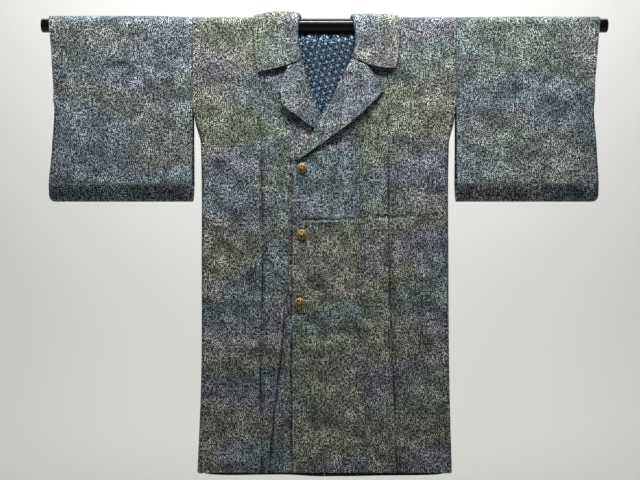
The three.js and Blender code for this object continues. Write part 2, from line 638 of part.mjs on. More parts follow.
// A domed button with petals in low relief, on a flat shank. Its back lies in the plane y = 0,
// and it faces -Y.
function button() {
  const { radius, rim, dome, petals, relief, steps } = BUTTON;
  const rings = [0.22, 0.36, 0.52, 0.7, 0.84, 0.92, 1];
  const height = (share, angle) => {
    const round = rim + dome * (1 - share ** 2.4);
    const petal = Math.cos(petals * angle) * Math.sin(Math.PI * clamp((share - 0.25) / 0.6, 0, 1));
    return round + relief * petal;
  };
  const positions = [0, -height(0, 0), 0];
  for (const share of rings) {
    for (let k = 0; k < steps; k++) {
      const angle = (2 * Math.PI * k) / steps;
      const r = radius * share;
      positions.push(r * Math.cos(angle), -height(share, angle), r * Math.sin(angle));
    }
  }
  for (let k = 0; k < steps; k++) {
    const angle = (2 * Math.PI * k) / steps;
    positions.push(radius * Math.cos(angle), 0, radius * Math.sin(angle));
  }
  positions.push(0, 0, 0);
  const index = [];
  const at = (ring, k) => 1 + ring * steps + (k % steps);
  const back = 1 + (rings.length + 1) * steps;
  for (let k = 0; k < steps; k++) {
    index.push(0, at(0, k), at(0, k + 1));
    for (let ring = 0; ring < rings.length; ring++) {
      index.push(at(ring, k), at(ring + 1, k), at(ring + 1, k + 1));
      index.push(at(ring, k), at(ring + 1, k + 1), at(ring, k + 1));
    }
    index.push(back, at(rings.length, k + 1), at(rings.length, k));
  }
  return facingOut(positions, index);
}

// The button stands on the upper front, and its shank goes through to the panel below.
function buttonWithShank({ x, z, tilt }) {
  const surface = -place(x, frontS(z), upperLift(x, z))[1];
  const under = -place(x, frontS(z), underLift(x))[1];
  const backY = -(surface + BUTTON.stand);
  const tilted = button().rotateX(THREE.MathUtils.degToRad(tilt)).translate(x, backY, z);
  const reach = -backY - under - SEAM + BUTTON.rim;
  const shank = new THREE.BoxGeometry(BUTTON.shankWidth, reach, BUTTON.shankHeight)
    .translate(x, backY - BUTTON.rim + reach / 2, z);
  return geometryOf(solidOf(tilted).add(solidOf(shank)));
}

// The upper front with a buttonhole behind each button.
function upperFront() {
  let panel = solidOf(overlapPanel(OVERLAPS.left));
  for (const { x, z } of BUTTONS) {
    const hole = new THREE.BoxGeometry(BUTTONHOLE.length, 60, BUTTONHOLE.height)
      .translate(x + BUTTONHOLE.length / 2 - BUTTONHOLE.toEdge, -SHOULDER_RADIUS, z);
    panel = panel.subtract(solidOf(hole));
  }
  return geometryOf(panel);
}

// ---- The coat ----

const coat = new THREE.Group();
function add(name, geometry, material) {
  const mesh = new THREE.Mesh(geometry, material);
  mesh.name = name;
  coat.add(mesh);
}

add("pole", pole(), FINISHES.pole);
add("body_left", bodyPanel(1), FINISHES.cloth);
add("body_right", bodyPanel(-1), FINISHES.cloth);
add("overlap_left", upperFront(), FINISHES.cloth);
add("overlap_right", overlapPanel(OVERLAPS.right), FINISHES.cloth);
add("sleeve_left", sleeve(1), FINISHES.cloth);
add("sleeve_right", sleeve(-1), FINISHES.cloth);
add("collar", collar(), FINISHES.cloth);
add("lapel_left", lapel(UPPER_LAPEL, upperLift, 16), FINISHES.cloth);
add("lapel_right", lapel(UNDER_LAPEL, underLift, 12), FINISHES.cloth);
add("lining_back", backLining(), FINISHES.lining);
BUTTONS.forEach((row, k) => add(`button_${k + 1}`, buttonWithShank(row), FINISHES.button));

export default coat;
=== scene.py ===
"""A kimono coat with a tailored collar, hung flat on a black pole that runs through its sleeves.

Sizes are in millimetres in the tables, and turn to metres where a mesh is made. The front of the
coat faces -Y, and +X is the wearer's left. A place on the cloth is (x, s): x across the coat, and
s along the cloth from the shoulder line, below zero down the front and above zero down the back.
"""

import math

import bpy
import numpy as np
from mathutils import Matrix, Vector


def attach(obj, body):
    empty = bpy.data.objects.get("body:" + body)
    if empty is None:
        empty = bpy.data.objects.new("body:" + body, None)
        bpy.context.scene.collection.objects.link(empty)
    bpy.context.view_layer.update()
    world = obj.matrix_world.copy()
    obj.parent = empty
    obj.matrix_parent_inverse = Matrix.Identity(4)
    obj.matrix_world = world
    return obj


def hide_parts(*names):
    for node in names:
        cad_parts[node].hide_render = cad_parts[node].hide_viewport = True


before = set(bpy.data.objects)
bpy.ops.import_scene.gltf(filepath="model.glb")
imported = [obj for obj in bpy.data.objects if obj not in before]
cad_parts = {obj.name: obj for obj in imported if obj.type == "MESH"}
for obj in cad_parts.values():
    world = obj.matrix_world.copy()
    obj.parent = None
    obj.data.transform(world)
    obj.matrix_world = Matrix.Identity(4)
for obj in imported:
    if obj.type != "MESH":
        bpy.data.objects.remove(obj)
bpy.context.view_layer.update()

# ---- Sizes ----
POLE_RADIUS = 17.0
POLE_LENGTH = 1372.0
CLOTH = 2.4
SEAM = 0.3
SHOULDER_HALF = 318.0
BODY_LENGTH = 1108.0
SLEEVE_DROP = 448.0
ARMHOLE_DEPTH = 212.0
WRIST_OPENING = 200.0
NECK_HALF = 82.0
NECK_DROP = 24.5
FRONT_EDGE_X = -77.5
SIDE_CURL = 9.0
SLEEVE_FOLD_HEIGHT = 44.0
SLEEVE_FOLD_BLUNTNESS = 1.3
SLEEVE_CORNER = 15.0
EDGE_ROUND = 0.8
POLE_GAP = 0.6
FACING_WIDTH = 62.0
LINING_HEM = 22.0
ROW_STEP, CREASE_STEP, HEM_EDGE, HEM_ROW = 7.6, 2.0, 1.8, 8.0
TOP_ROW_Z, BACK_TOP_ROW_Z = -6.0, -17.0
SLEEVE_ROW_STEP, SLEEVE_FOLD_STEP, SLEEVE_MIDDLE_X = 7.2, 4.6, 480.0

SHOULDER_RADIUS = POLE_RADIUS + POLE_GAP + CLOTH
QUARTER = SHOULDER_RADIUS * math.pi / 2
HEM_Z = SHOULDER_RADIUS - BODY_LENGTH
SLEEVE_BOTTOM_Z = SHOULDER_RADIUS - SLEEVE_DROP
SLEEVE_FOLD_Z = SLEEVE_BOTTOM_Z + SLEEVE_FOLD_HEIGHT
ARMHOLE_Z = SHOULDER_RADIUS - ARMHOLE_DEPTH
WRIST_Z = SHOULDER_RADIUS - WRIST_OPENING
CLOSED_SIDE_Z = -288.0
NECK_BOTTOM = 45.4

# ---- Tables ----


def table(columns, *rows):
    """Rows of numbers as a list of dicts with named columns."""
    names = columns.split()
    return [dict(zip(names, row)) for row in rows]


BODY_SECTIONS = table(
    "z front back",
    (0, 20, 20), (-60, 20, 20), (-192, 19.2, 19), (-450, 19.5, 18), (-800, 21, 18.5), (-1088, 23, 20),
)
SLEEVE_SECTIONS = table("z depth", (0, 20), (-60, 20), (-192, 19), (-310, 21), (-384, 26))
SIDE_EDGE = table(
    "z left right",
    (-192, 318, 318), (-240, 312.5, 312), (-288, 302, 300.5), (-590, 301, 298.5),
    (-850, 303, 299.5), (-1088, 309, 308.5),
)
HEM_LINE = table(
    "x front_up back_down",
    (-309, 4, -4), (-288, 5.2, 5), (-240, 6.5, 8.5), (-160, 6.5, 7.5), (-90, 6.5, 7.5), (-20, 7, 11),
    (60, 6.5, 11), (140, 6, 9.5), (240, 6.5, 8.5), (288, 5.2, 5), (309, 4, -4),
)
HEM_EASE_Z = -960.0
FRONT_LINES = table(
    "z seam left_pleat right_pleat",
    (20, 82, 152, 158), (-117, 82, 153, 159), (-366, 84, 156, 153), (-597, 88, 158, 151),
    (-815, 95, 166, 156), (-1088, 101, 177, 153),
)
SLEEVE_ENDS = table(
    "z left right",
    (20, 666, 667), (-60, 659, 660), (-178, 652.5, 655), (-300, 660, 661), (-383, 664, 668), (-428, 665, 669),
)
SLEEVE_RISE = {"left": 1.5, "right": 3.2, "over": 90}
WRIST_EASE = 22

FOLD = "top_x top_z bottom_x bottom_z depth width fade"
FRONT_FOLDS = table(
    FOLD,
    (-97, -650, -136, -1100, 5, 9, 110),
    (160, -380, 186, -1100, 4, 15, 260),
    (-152, -90, -150, -1100, 2.5, 8, 120),
    (262, -820, 252, -1100, 3.5, 48, 160),
)
BACK_FOLDS = table(
    FOLD,
    (-120, -300, -135, -1100, 3.5, 26, 220),
    (105, -420, 128, -1100, 4, 30, 260),
    (232, -260, 240, -900, 2.5, 24, 200),
)
SLEEVE_FOLDS = table(
    FOLD,
    (465, -5, 474, -330, 3.5, 13, 70),
    (511, -60, 518, -230, 2.5, 11, 60),
    (-560, -60, -548, -360, 2, 30, 110),
    (-404, -40, -396, -300, 1.8, 24, 90),
)
PLEAT = {"step": 2.8, "edge": 1.6, "flat": 4, "reach": 46, "top_z": -70, "fade": 70}
PLEAT_GROOVE = {
    "depth": 7.0, "width": 2.2, "off": -1.0,
    "left_second": 6.5, "right_second": -5.5, "second_depth": 4.6,
}
PRESSED = {"top_z": -200, "full_z": -420, "least": 0.25}
# How deep a slit or crease is when it gets the whole painted shade, and how much painted shade the inner
# faces get.
HOLLOW_DEPTH = 8.5
INSIDE_SHADE = 0.9

# The crease from folding the coat in half crosses both fronts between these levels.
CREASE_BOTTOM_Z, CREASE_TOP_Z = -492.0, -450.0

# Short creases left by storage and wear: a dip on a straight line, with a ridge beside it.
CREASE = "x0 z0 x1 z1 depth width"
FRONT_CREASES = table(
    CREASE,
    (-60, -475, 84, -471, 2.3, 3.4),
    (100, -468, 298, -462, 1.5, 4.2),
    (-298, -482, -170, -474, 1.2, 4),
    (-50, -650, 6, -634, 2.0, 4.5),
    (-50, -600, -10, -566, 1.4, 6),
    (-171, -968, -154, -1006, 2.4, 4),
    (-98, -690, -104, -800, 6.0, 2.4),
    (-103, -780, -116, -905, 6.6, 2.6),
    (-115, -880, -126, -1000, 6.4, 2.6),
    (-124, -975, -137, -1120, 7.0, 2.8),
    (-80.6, -380, -80.0, -1140, 9.0, 2.4),
    (-80.8, -322, -80.6, -425, 6.0, 2.4),
    (-240, -880, -200, -1085, 1.4, 16),
    (-262, -520, -214, -610, 1.1, 12),
    (-230, -690, -280, -800, 1.1, 14),
    (215, -250, 232, -420, 1.1, 12),
    (196, -600, 262, -660, 0.9, 12),
    (236, -760, 214, -930, 1.2, 14),
    (-232, -120, -250, -330, 1.1, 14),
    (-200, -210, -172, -260, 0.9, 8),
    (206, -130, 250, -190, 0.9, 10),
    (40, -800, 52, -1085, 1.2, 14),
    (-20, -380, -24, -640, 0.8, 12),
    (30, -560, 70, -620, 0.8, 8),
    (10, -900, -40, -960, 0.8, 9),
    (58, -330, 12, -372, 0.8, 8),
)
BACK_CREASES = table(
    CREASE,
    (-298, -476, 298, -474, 1.0, 4),
    (-200, -160, -170, -420, 1.0, 16),
    (60, -700, 40, -1085, 1.3, 18),
    (210, -120, 190, -260, 0.9, 14),
    (-260, -620, -200, -700, 1.0, 12),
    (120, -560, 190, -640, 1.0, 12),
    (-90, -840, -60, -1040, 1.1, 14),
)
SLEEVE_CREASES = table(
    CREASE,
    (648, -176, 604, -182, 1.6, 5),
    (-652, -182, -616, -188, 1.4, 5),
    (-470, -30, -462, -150, 1.0, 10),
    (-430, -96, -372, -118, 0.9, 9),
    (-600, -70, -560, -112, 0.8, 9),
    (-520, -250, -512, -372, 1.0, 14),
    (-336, -210, -345, -370, 1.3, 12),
    (-640, -236, -560, -262, 0.9, 11),
    (410, -240, 424, -362, 1.0, 12),
    (580, -230, 572, -362, 1.2, 12),
    (360, -60, 384, -150, 0.9, 10),
    (596, -70, 632, -120, 0.9, 9),
    (350, -300, 440, -318, 0.8, 10),
)

COLLAR_SECTIONS = table(
    "turn seam_x seam_s roll_x roll_s middle_x middle_s edge_x edge_s roll_lift middle_lift edge_lift",
    (0, -81.5, -118.5, -56, -116.5, -90, -131.5, -160.6, -149, 5, 9.5, 6.5),
    (1, -81.5, -81, -64, -80, -112, -92, -168, -105, 5.5, 9, 6),
    (2, -81.5, -43.5, -65, -43, -115, -46, -171, -52, 7.5, 10.5, 5),
    (3, -81.5, 0, -58.5, 0, -112, 0, -171, 0, 10, 14, 4.2),
    (4, -77.5, 21, -55.5, 13, -106, 27, -161, 46, 6.5, 8.5, 4.2),
    (5, -59, 33.4, -45, 17, -86, 52, -130, 88, 5.5, 7, 4.2),
    (6, 0, 44.8, 0, 20, 0, 71, 0, 123, 5, 6.5, 4.2),
    (7, 59, 33.4, 50, 17, 91, 52, 137, 88, 5.5, 7, 4.2),
    (8, 77.5, 21, 62, 13, 112, 27, 167, 46, 6, 7, 4),
    (9, 81.5, 0, 65, 0, 118, 0, 177, 0, 6.5, 8, 3.8),
    (10, 81.5, -43.5, 73.5, -43, 124, -46, 181, -52, 5, 7, 4.2),
    (11, 81.5, -79, 75, -77, 124, -89, 178.5, -96, 5, 9, 7),
    (12, 81.5, -113.5, 67, -111, 102.5, -129.6, 170.3, -140.5, 5, 10.5, 13),
)
LAPEL = "roll_x roll_z middle_x middle_z edge_x edge_z middle_lift edge_lift"
UPPER_LAPEL = table(
    LAPEL,
    (65.2, -82.6, 101.2, -101, 146, -157.7, 10.5, 6),
    (46, -124, 84, -153, 125, -181, 11, 11),
    (26, -165, 59, -190, 92, -214, 10, 14),
    (2, -211, 27, -231, 51, -248, 8.5, 13),
    (-25, -257, -10, -270, 5, -280, 7, 9),
    (-50, -297, -42, -303.5, -34, -308, 5.5, 6.5),
    (-71, -326, -66, -327, -60, -325, 4.6, 4.6),
)
UNDER_LAPEL = table(
    LAPEL,
    (-54.3, -88.5, -88.8, -102.8, -109, -149.5, 9.5, 10),
    (-46, -121, -77, -141, -105, -172, 9, 10.5),
    (-37, -153, -68, -176, -99.6, -198, 8, 12),
    (-26, -184, -50, -204, -72, -218.5, 7, 12.5),
    (-15, -208, -32, -226, -46, -238, 5.2, 9.5),
    (-3, -234, -12, -244, -20, -256, 4.4, 4.4),
)
LAPEL_ROLL_LIFT = 4.2
FOLD_JOIN = 1.3
ROLL_RADIUS = (LAPEL_ROLL_LIFT + CLOTH / 2) / 2

BUTTONS = table("x z tilt", (-54.7, -348, 4), (-54.7, -508, -5), (-60.5, -672.5, 3))
BUTTON_RADIUS = 12.6
BUTTON_STAND = 1.7
BUTTONHOLE = {"length": 14.0, "height": 3.0, "to_edge": 4.0}
LINING_SECTION = table(
    "plain_y plain_z puff_y puff_z",
    (16.6, -10.5, 16.6, -10.5), (16.6, -14, 16.2, -14.5), (16.6, -17, 13, -18), (16.6, -20, 6, -19.6),
    (16.6, -23, 0.5, -20.4), (16.6, -26, -2.8, -23), (16.6, -30, -3.8, -28), (16.6, -35, -3.6, -34),
    (16.6, -43, -2.4, -43), (16.6, -54, -0.4, -54), (16.4, -75, 3, -75), (16.1, -110, 8, -110),
    (15.7, -150, 11.5, -150), (15.2, -230, 14.6, -230), (14.6, -335, 14.6, -335),
)
LINING = {"half": 165.0, "thick": 1.2, "flat_x": 62, "end_x": 115, "wave": 0.12, "wave_length": 33,
          "run_column": 103}

# ---- Reading the tables ----


def hermite(t, span, start, end, start_slope, end_slope):
    """A smooth curve from start to end over a span, with these slopes at its ends, at t from 0 to 1."""
    return (
        (2 * t**3 - 3 * t**2 + 1) * start
        + (t**3 - 2 * t**2 + t) * span * start_slope
        + (3 * t**2 - 2 * t**3) * end
        + (t**3 - t**2) * span * end_slope
    )


def read(rows, key, at, column):
    """A column at a value of the key, on a smooth curve through the rows."""
    keys = np.array([row[key] for row in rows], float)
    values = np.array([row[column] for row in rows], float)
    if keys[0] > keys[-1]:
        keys, values = keys[::-1], values[::-1]
    at = np.clip(np.asarray(at, float), keys[0], keys[-1])
    order = np.arange(len(keys))
    low, high = np.maximum(order - 1, 0), np.minimum(order + 1, len(keys) - 1)
    slope = (values[high] - values[low]) / (keys[high] - keys[low])
    i = np.clip(np.searchsorted(keys, at, side="right") - 1, 0, len(keys) - 2)
    span = keys[i + 1] - keys[i]
    return hermite((at - keys[i]) / span, span, values[i], values[i + 1], slope[i], slope[i + 1])


def smooth(value, start, end):
    t = np.clip((np.asarray(value, float) - start) / (end - start), 0, 1)
    return t * t * (3 - 2 * t)


def lerp(a, b, t):
    return a + (b - a) * t


# ---- The hanging shape ----


def fold_depth(folds, x, z):
    """Depth of the soft troughs, each with a raised lip on both sides."""
    total = 0.0
    for number, f in enumerate(folds):
        down = (f["top_z"] - z) / (f["top_z"] - f["bottom_z"])
        wander = 1.6 * np.sin(z / 47 + 2 * number) * smooth(down, 0, 0.2)
        off = np.abs(x - lerp(f["top_x"], f["bottom_x"], down) - wander) / f["width"]
        strength = smooth(f["top_z"] - z, 0, f["fade"])
        strength = strength * (1 - smooth(f["bottom_z"] - z, -f["fade"] / 2, 0))
        strength = strength * (1 + 0.2 * np.sin(z / 71 + 3 * number))
        total = total + f["depth"] * strength * (np.exp(-(off**2)) - 0.3 * np.exp(-((off - 2.1) ** 2)))
    return total


def crease_depth(creases, x, z):
    """Depth of the short creases, dying out towards their ends."""
    total = 0.0
    for number, c in enumerate(creases):
        along = np.array([c["x1"] - c["x0"], c["z1"] - c["z0"]], float)
        length = float(np.hypot(*along))
        along /= length
        t = ((x - c["x0"]) * along[0] + (z - c["z0"]) * along[1]) / length
        off = (x - c["x0"]) * along[1] - (z - c["z0"]) * along[0]
        off = off + 1.2 * np.sin(t * length / 23 + number) + 0.6 * np.sin(t * length / 8.3 + 2 * number)
        off = off / c["width"]
        strength = smooth(t, 0, 0.12) * (1 - smooth(t, 0.88, 1)) * (1 + 0.3 * np.sin(t * length / 31))
        total = total + c["depth"] * strength * (np.exp(-(off**2)) - 0.5 * np.exp(-((off - 1.7) ** 2)))
    return total


def ripple_field(seed, count, shortest, longest, height):
    """Soft unevenness of hung cloth: many faint waves in all directions, longer ones higher."""
    random = np.random.default_rng(seed)
    lengths = np.exp(random.uniform(math.log(shortest), math.log(longest), count))
    turns = random.uniform(0, math.pi, count)
    starts = random.uniform(0, 2 * math.pi, count)

    def field(x, z):
        total = 0.0
        for length, turn, start in zip(lengths, turns, starts):
            along = x * math.cos(turn) + z * math.sin(turn)
            total = total + height * length / longest * np.sin(2 * math.pi * along / length + start)
        return total

    return field


FRONT_RIPPLE, BACK_RIPPLE, SLEEVE_RIPPLE = (
    ripple_field(seed, count=22, shortest=26, longest=130, height=0.85) for seed in (11, 23, 37)
)


def settled(x, z):
    """Ripples die out on the pole, beside the sleeve seam and towards the hem."""
    from_seam = smooth(np.abs(np.abs(x) - SHOULDER_HALF), 0, 45)
    return smooth(-z, 0, 60) * (1 - 0.6 * smooth(-z, 1000, 1088)) * from_seam


def past_pleat(x, z):
    """How far a place lies outside the pressed edge of its front pleat."""
    left, right = (read(FRONT_LINES, "z", z, column) for column in ("left_pleat", "right_pleat"))
    return np.abs(x) - np.where(x > 0, left, right)


def pleat_fade(z):
    """The pleat opens from nothing at its top to its whole depth."""
    return smooth(PLEAT["top_z"] - z, 0, PLEAT["fade"])


def pleat_step(x, z):
    """How far the cloth beyond the pleat's edge stands out over the cloth inside it."""
    past = past_pleat(x, z)
    rising = smooth(past, -PLEAT["edge"], PLEAT["edge"])
    return pleat_fade(z) * PLEAT["step"] * rising * (1 - smooth(past, PLEAT["flat"], PLEAT["reach"]))


def pleat_groove(x, z):
    """Depth of the slit behind the pleat's edge, and of the second press line beside it."""
    past = past_pleat(x, z)
    g = PLEAT_GROOVE
    groove = g["depth"] * np.exp(-(((past - g["off"]) / g["width"]) ** 2)) * (1 + 0.3 * np.sin(z / 37))
    second_at = np.where(x > 0, g["left_second"], g["right_second"])
    second = g["second_depth"] * np.exp(-(((past - second_at) / g["width"]) ** 2))
    sharp = PRESSED["least"] + (1 - PRESSED["least"]) * smooth(-z, -PRESSED["top_z"], -PRESSED["full_z"])
    return pleat_fade(z) * sharp * (groove + second * smooth(-z, 250, 500))


def front_hollow(x, z):
    """How much shade is painted on the front: 1 in the slits and sharp creases, where folded cloth shuts out
    the light.
    """
    depth = pleat_groove(x, z) + np.maximum(crease_depth(FRONT_CREASES, x, z), 0)
    return np.clip(depth / HOLLOW_DEPTH, 0, 1)


def hung_face(sections, column, ripple, folds, creases, ripple_shift=0, crease_shift=0):
    """A function for the distance of a hanging face from the pole's plane at (x, z)."""

    def depth(x, z):
        smooth_face = read(sections, "z", z, column) + ripple(x + ripple_shift, z) * settled(x, z)
        return smooth_face - fold_depth(folds, x, z) - crease_depth(creases, x + crease_shift, z)

    return depth


flat_front = hung_face(BODY_SECTIONS, "front", FRONT_RIPPLE, FRONT_FOLDS, FRONT_CREASES)
back_depth = hung_face(BODY_SECTIONS, "back", BACK_RIPPLE, BACK_FOLDS, BACK_CREASES)
sleeve_front = hung_face(SLEEVE_SECTIONS, "depth", SLEEVE_RIPPLE, SLEEVE_FOLDS, SLEEVE_CREASES)
sleeve_back = hung_face(SLEEVE_SECTIONS, "depth", SLEEVE_RIPPLE, [], SLEEVE_CREASES, 200, 24)


def front_depth(x, z):
    return flat_front(x, z) + pleat_step(x, z) - pleat_groove(x, z)


def hem_drop(x, s, z):
    """How far the cloth hangs below its cut line near the hem: the back low, the front a little up."""
    low = smooth(-z, -HEM_EASE_Z, -HEM_Z)
    front_up, back_down = (read(HEM_LINE, "x", x, k) for k in ("front_up", "back_down"))
    return low * np.where(s > 0, back_down, -front_up)


def place(x, s, lift, front=front_depth, back=back_depth, rise=0.0):
    """The points at (x, s), moved out from the body cloth's face by lift."""
    x, s, lift, rise = np.broadcast_arrays(*(np.asarray(v, float) for v in (x, s, lift, rise)))
    z = QUARTER - np.abs(s)
    turn = np.clip(s, -QUARTER, QUARTER) / SHOULDER_RADIUS
    radius = SHOULDER_RADIUS + lift
    y = np.where(s < 0, -(front(x, z) + lift), back(x, z) + lift)
    y = np.where(z > 0, radius * np.sin(turn), y)
    hung = z - hem_drop(x, s, z)
    return np.stack([x, y, np.where(z > 0, (radius + rise) * np.cos(turn), hung)], axis=-1)


def front_s(z):
    """The place along the cloth of a height on the front."""
    return z - QUARTER


OVERLAP = {"layer": CLOTH + 1.15, "seam_x": 84, "past": 1.05}
BULGE = {"lift": 5.8, "x": -8, "z": -236, "width": 44, "height": 46}


def overlap_share(from_seam):
    """How far the lift of an overlap has grown, from its seam to its free edge."""
    return np.clip(from_seam / (OVERLAP["seam_x"] - FRONT_EDGE_X), 0, OVERLAP["past"])


def upper_lift(x, z):
    """How far the upper front lies before the body cloth, with a soft bulge beside the lapels."""
    off = ((x - BULGE["x"]) / BULGE["width"]) ** 2 + ((z - BULGE["z"]) / BULGE["height"]) ** 2
    return OVERLAP["layer"] * overlap_share(OVERLAP["seam_x"] - x) + BULGE["lift"] * np.exp(-off)


def under_lift(x, z):
    """The same for the under front, which lies behind. It doesn't change with height."""
    return -OVERLAP["layer"] * overlap_share(OVERLAP["seam_x"] + x) + 0 * z


# ---- Meshes ----


def in_scene(name, data):
    obj = bpy.data.objects.new(name, data)
    bpy.context.scene.collection.objects.link(obj)
    return obj


def apply_modifiers(obj):
    """Puts the result of an object's modifiers in the place of its mesh."""
    bpy.context.view_layer.update()
    evaluated = obj.evaluated_get(bpy.context.evaluated_depsgraph_get())
    result = bpy.data.meshes.new_from_object(evaluated)
    result.name = obj.name
    obj.modifiers.clear()
    old, obj.data = obj.data, result
    bpy.data.meshes.remove(old)


def mesh_object(name, points, faces, materials, uv=None, indices=None, **marks):
    """An object of a mesh given in millimetres, its faces turned out, its points marked by name."""
    points = np.asarray(points, float).reshape(-1, 3)
    volume = 0.0
    for face in faces:
        a = points[face[0]]
        for k in range(1, len(face) - 1):
            volume += float(np.dot(a, np.cross(points[face[k]], points[face[k + 1]])))
    if volume < 0:
        faces = [face[::-1] for face in faces]
    mesh = bpy.data.meshes.new(name)
    mesh.from_pydata((points / 1000).tolist(), [], faces)
    mesh.polygons.foreach_set("use_smooth", [True] * len(mesh.polygons))
    for material in materials:
        mesh.materials.append(material)
    if indices is not None:
        mesh.polygons.foreach_set("material_index", indices)
    if uv is not None:
        layer = mesh.uv_layers.new(name="weft")
        corner = np.zeros(len(mesh.loops), int)
        mesh.loops.foreach_get("vertex_index", corner)
        layer.data.foreach_set("uv", (np.asarray(uv)[corner] / 1000).ravel())
    for mark, values in marks.items():
        mesh.attributes.new(mark, "FLOAT", "POINT").data.foreach_set("value", values)
    mesh.update()
    return in_scene(name, mesh)


def shell(name, outer, inner, weft, materials, looped=False, facing=None, hollow=None):
    """A closed cloth wall between two grids of points, with rounded edges.

    weft is each point's place on the cloth. looped joins the last row to the first. facing marks
    the columns whose inner face is made of the outer cloth. hollow is each point's share of the
    painted shade held in a slit or crease, given for the outer face; below 0 it is a painted
    highlight. The inner face and the rims carry INSIDE_SHADE, painted shade for the inside.
    """
    outer, inner = np.array(outer, float), np.array(inner, float)
    rows, columns = outer.shape[:2]
    if looped:
        rims = [[(i, 0) for i in range(rows)], [(i, columns - 1) for i in range(rows)][::-1]]
    else:
        rim = [(0, j) for j in range(columns)] + [(i, columns - 1) for i in range(1, rows)]
        rim += [(rows - 1, j) for j in range(columns - 2, -1, -1)]
        rims = [rim + [(i, 0) for i in range(rows - 2, 0, -1)]]
    edge_points = [[(outer[i, j] + inner[i, j]) / 2 for i, j in rim] for rim in rims]
    for face in (outer, inner):
        moved = face.copy()
        for i, j in sum(rims, []):
            near = face[i if looped else min(max(i, 1), rows - 2), min(max(j, 1), columns - 2)]
            step = near - face[i, j]
            far = float(np.linalg.norm(step))
            moved[i, j] += step * min(EDGE_ROUND / max(far, 1e-6), 0.5)
        face[:] = moved
    points = [*outer.reshape(-1, 3), *inner.reshape(-1, 3)]
    uv = [*weft.reshape(-1, 2), *weft.reshape(-1, 2)]
    faces, indices = [], []
    count = rows * columns

    def at(side, i, j):
        return side * count + (i % rows) * columns + j

    for i in range(rows if looped else rows - 1):
        for j in range(columns - 1):
            faces.append((at(0, i, j), at(0, i, j + 1), at(0, i + 1, j + 1), at(0, i + 1, j)))
            faces.append((at(1, i, j), at(1, i + 1, j), at(1, i + 1, j + 1), at(1, i, j + 1)))
            indices += [0, 0 if facing is not None and facing[j] else len(materials) - 1]
    for rim, middle in zip(rims, edge_points):
        start = len(points)
        points += middle
        uv += [weft[i, j] for i, j in rim]
        n = len(rim)
        for k in range(n):
            (i0, j0), (i1, j1) = rim[k], rim[(k + 1) % n]
            a, b = start + k, start + (k + 1) % n
            faces.append((at(0, i1, j1), at(0, i0, j0), a, b))
            faces.append((b, a, at(1, i0, j0), at(1, i1, j1)))
            indices += [0, 0]
    marks = {}
    # The inner face and the rims get painted shade, INSIDE_SHADE, for the inside of the coat.
    if hollow is not None:
        marks["hollow"] = np.concatenate([hollow.ravel(), np.full(len(points) - count, INSIDE_SHADE)])
    return mesh_object(name, points, faces, materials, uv, indices, **marks)


def weft_at(x, s, offset=(0, 0)):
    """Places on the bolt: each piece is cut from a part of its own."""
    return np.stack(np.broadcast_arrays(x + offset[0], s + offset[1]), axis=-1)


def spaced(start, end, step):
    """Numbers from start to end, about a step apart."""
    return np.linspace(start, end, max(2, int(round(abs(end - start) / step)) + 1))


def joined(*runs):
    """Runs of numbers end to end, without the repeated ends."""
    values = [float(v) for run in runs for v in run]
    return np.array([v for k, v in enumerate(values) if k == 0 or abs(v - values[k - 1]) > 1e-6])


# ---- Materials ----


class Nodes:
    """A node tree, built from short calls."""

    def __init__(self, tree):
        self.tree = tree

    def add(self, kind, settings=None, **inputs):
        node = self.tree.nodes.new(kind)
        for key, value in (settings or {}).items():
            setattr(node, key, value)
        for key, value in inputs.items():
            self.feed(node, key.replace("_", " "), value)
        return node

    def feed(self, node, socket, value):
        target = node.inputs[socket]
        if isinstance(value, bpy.types.NodeSocket):
            self.tree.links.new(value, target)
        else:
            target.default_value = value

    def math(self, operation, a, b=0.0, c=0.0):
        node = self.add("ShaderNodeMath", {"operation": operation})
        for k, value in enumerate((a, b, c)):
            self.feed(node, k, value)
        return node.outputs[0]


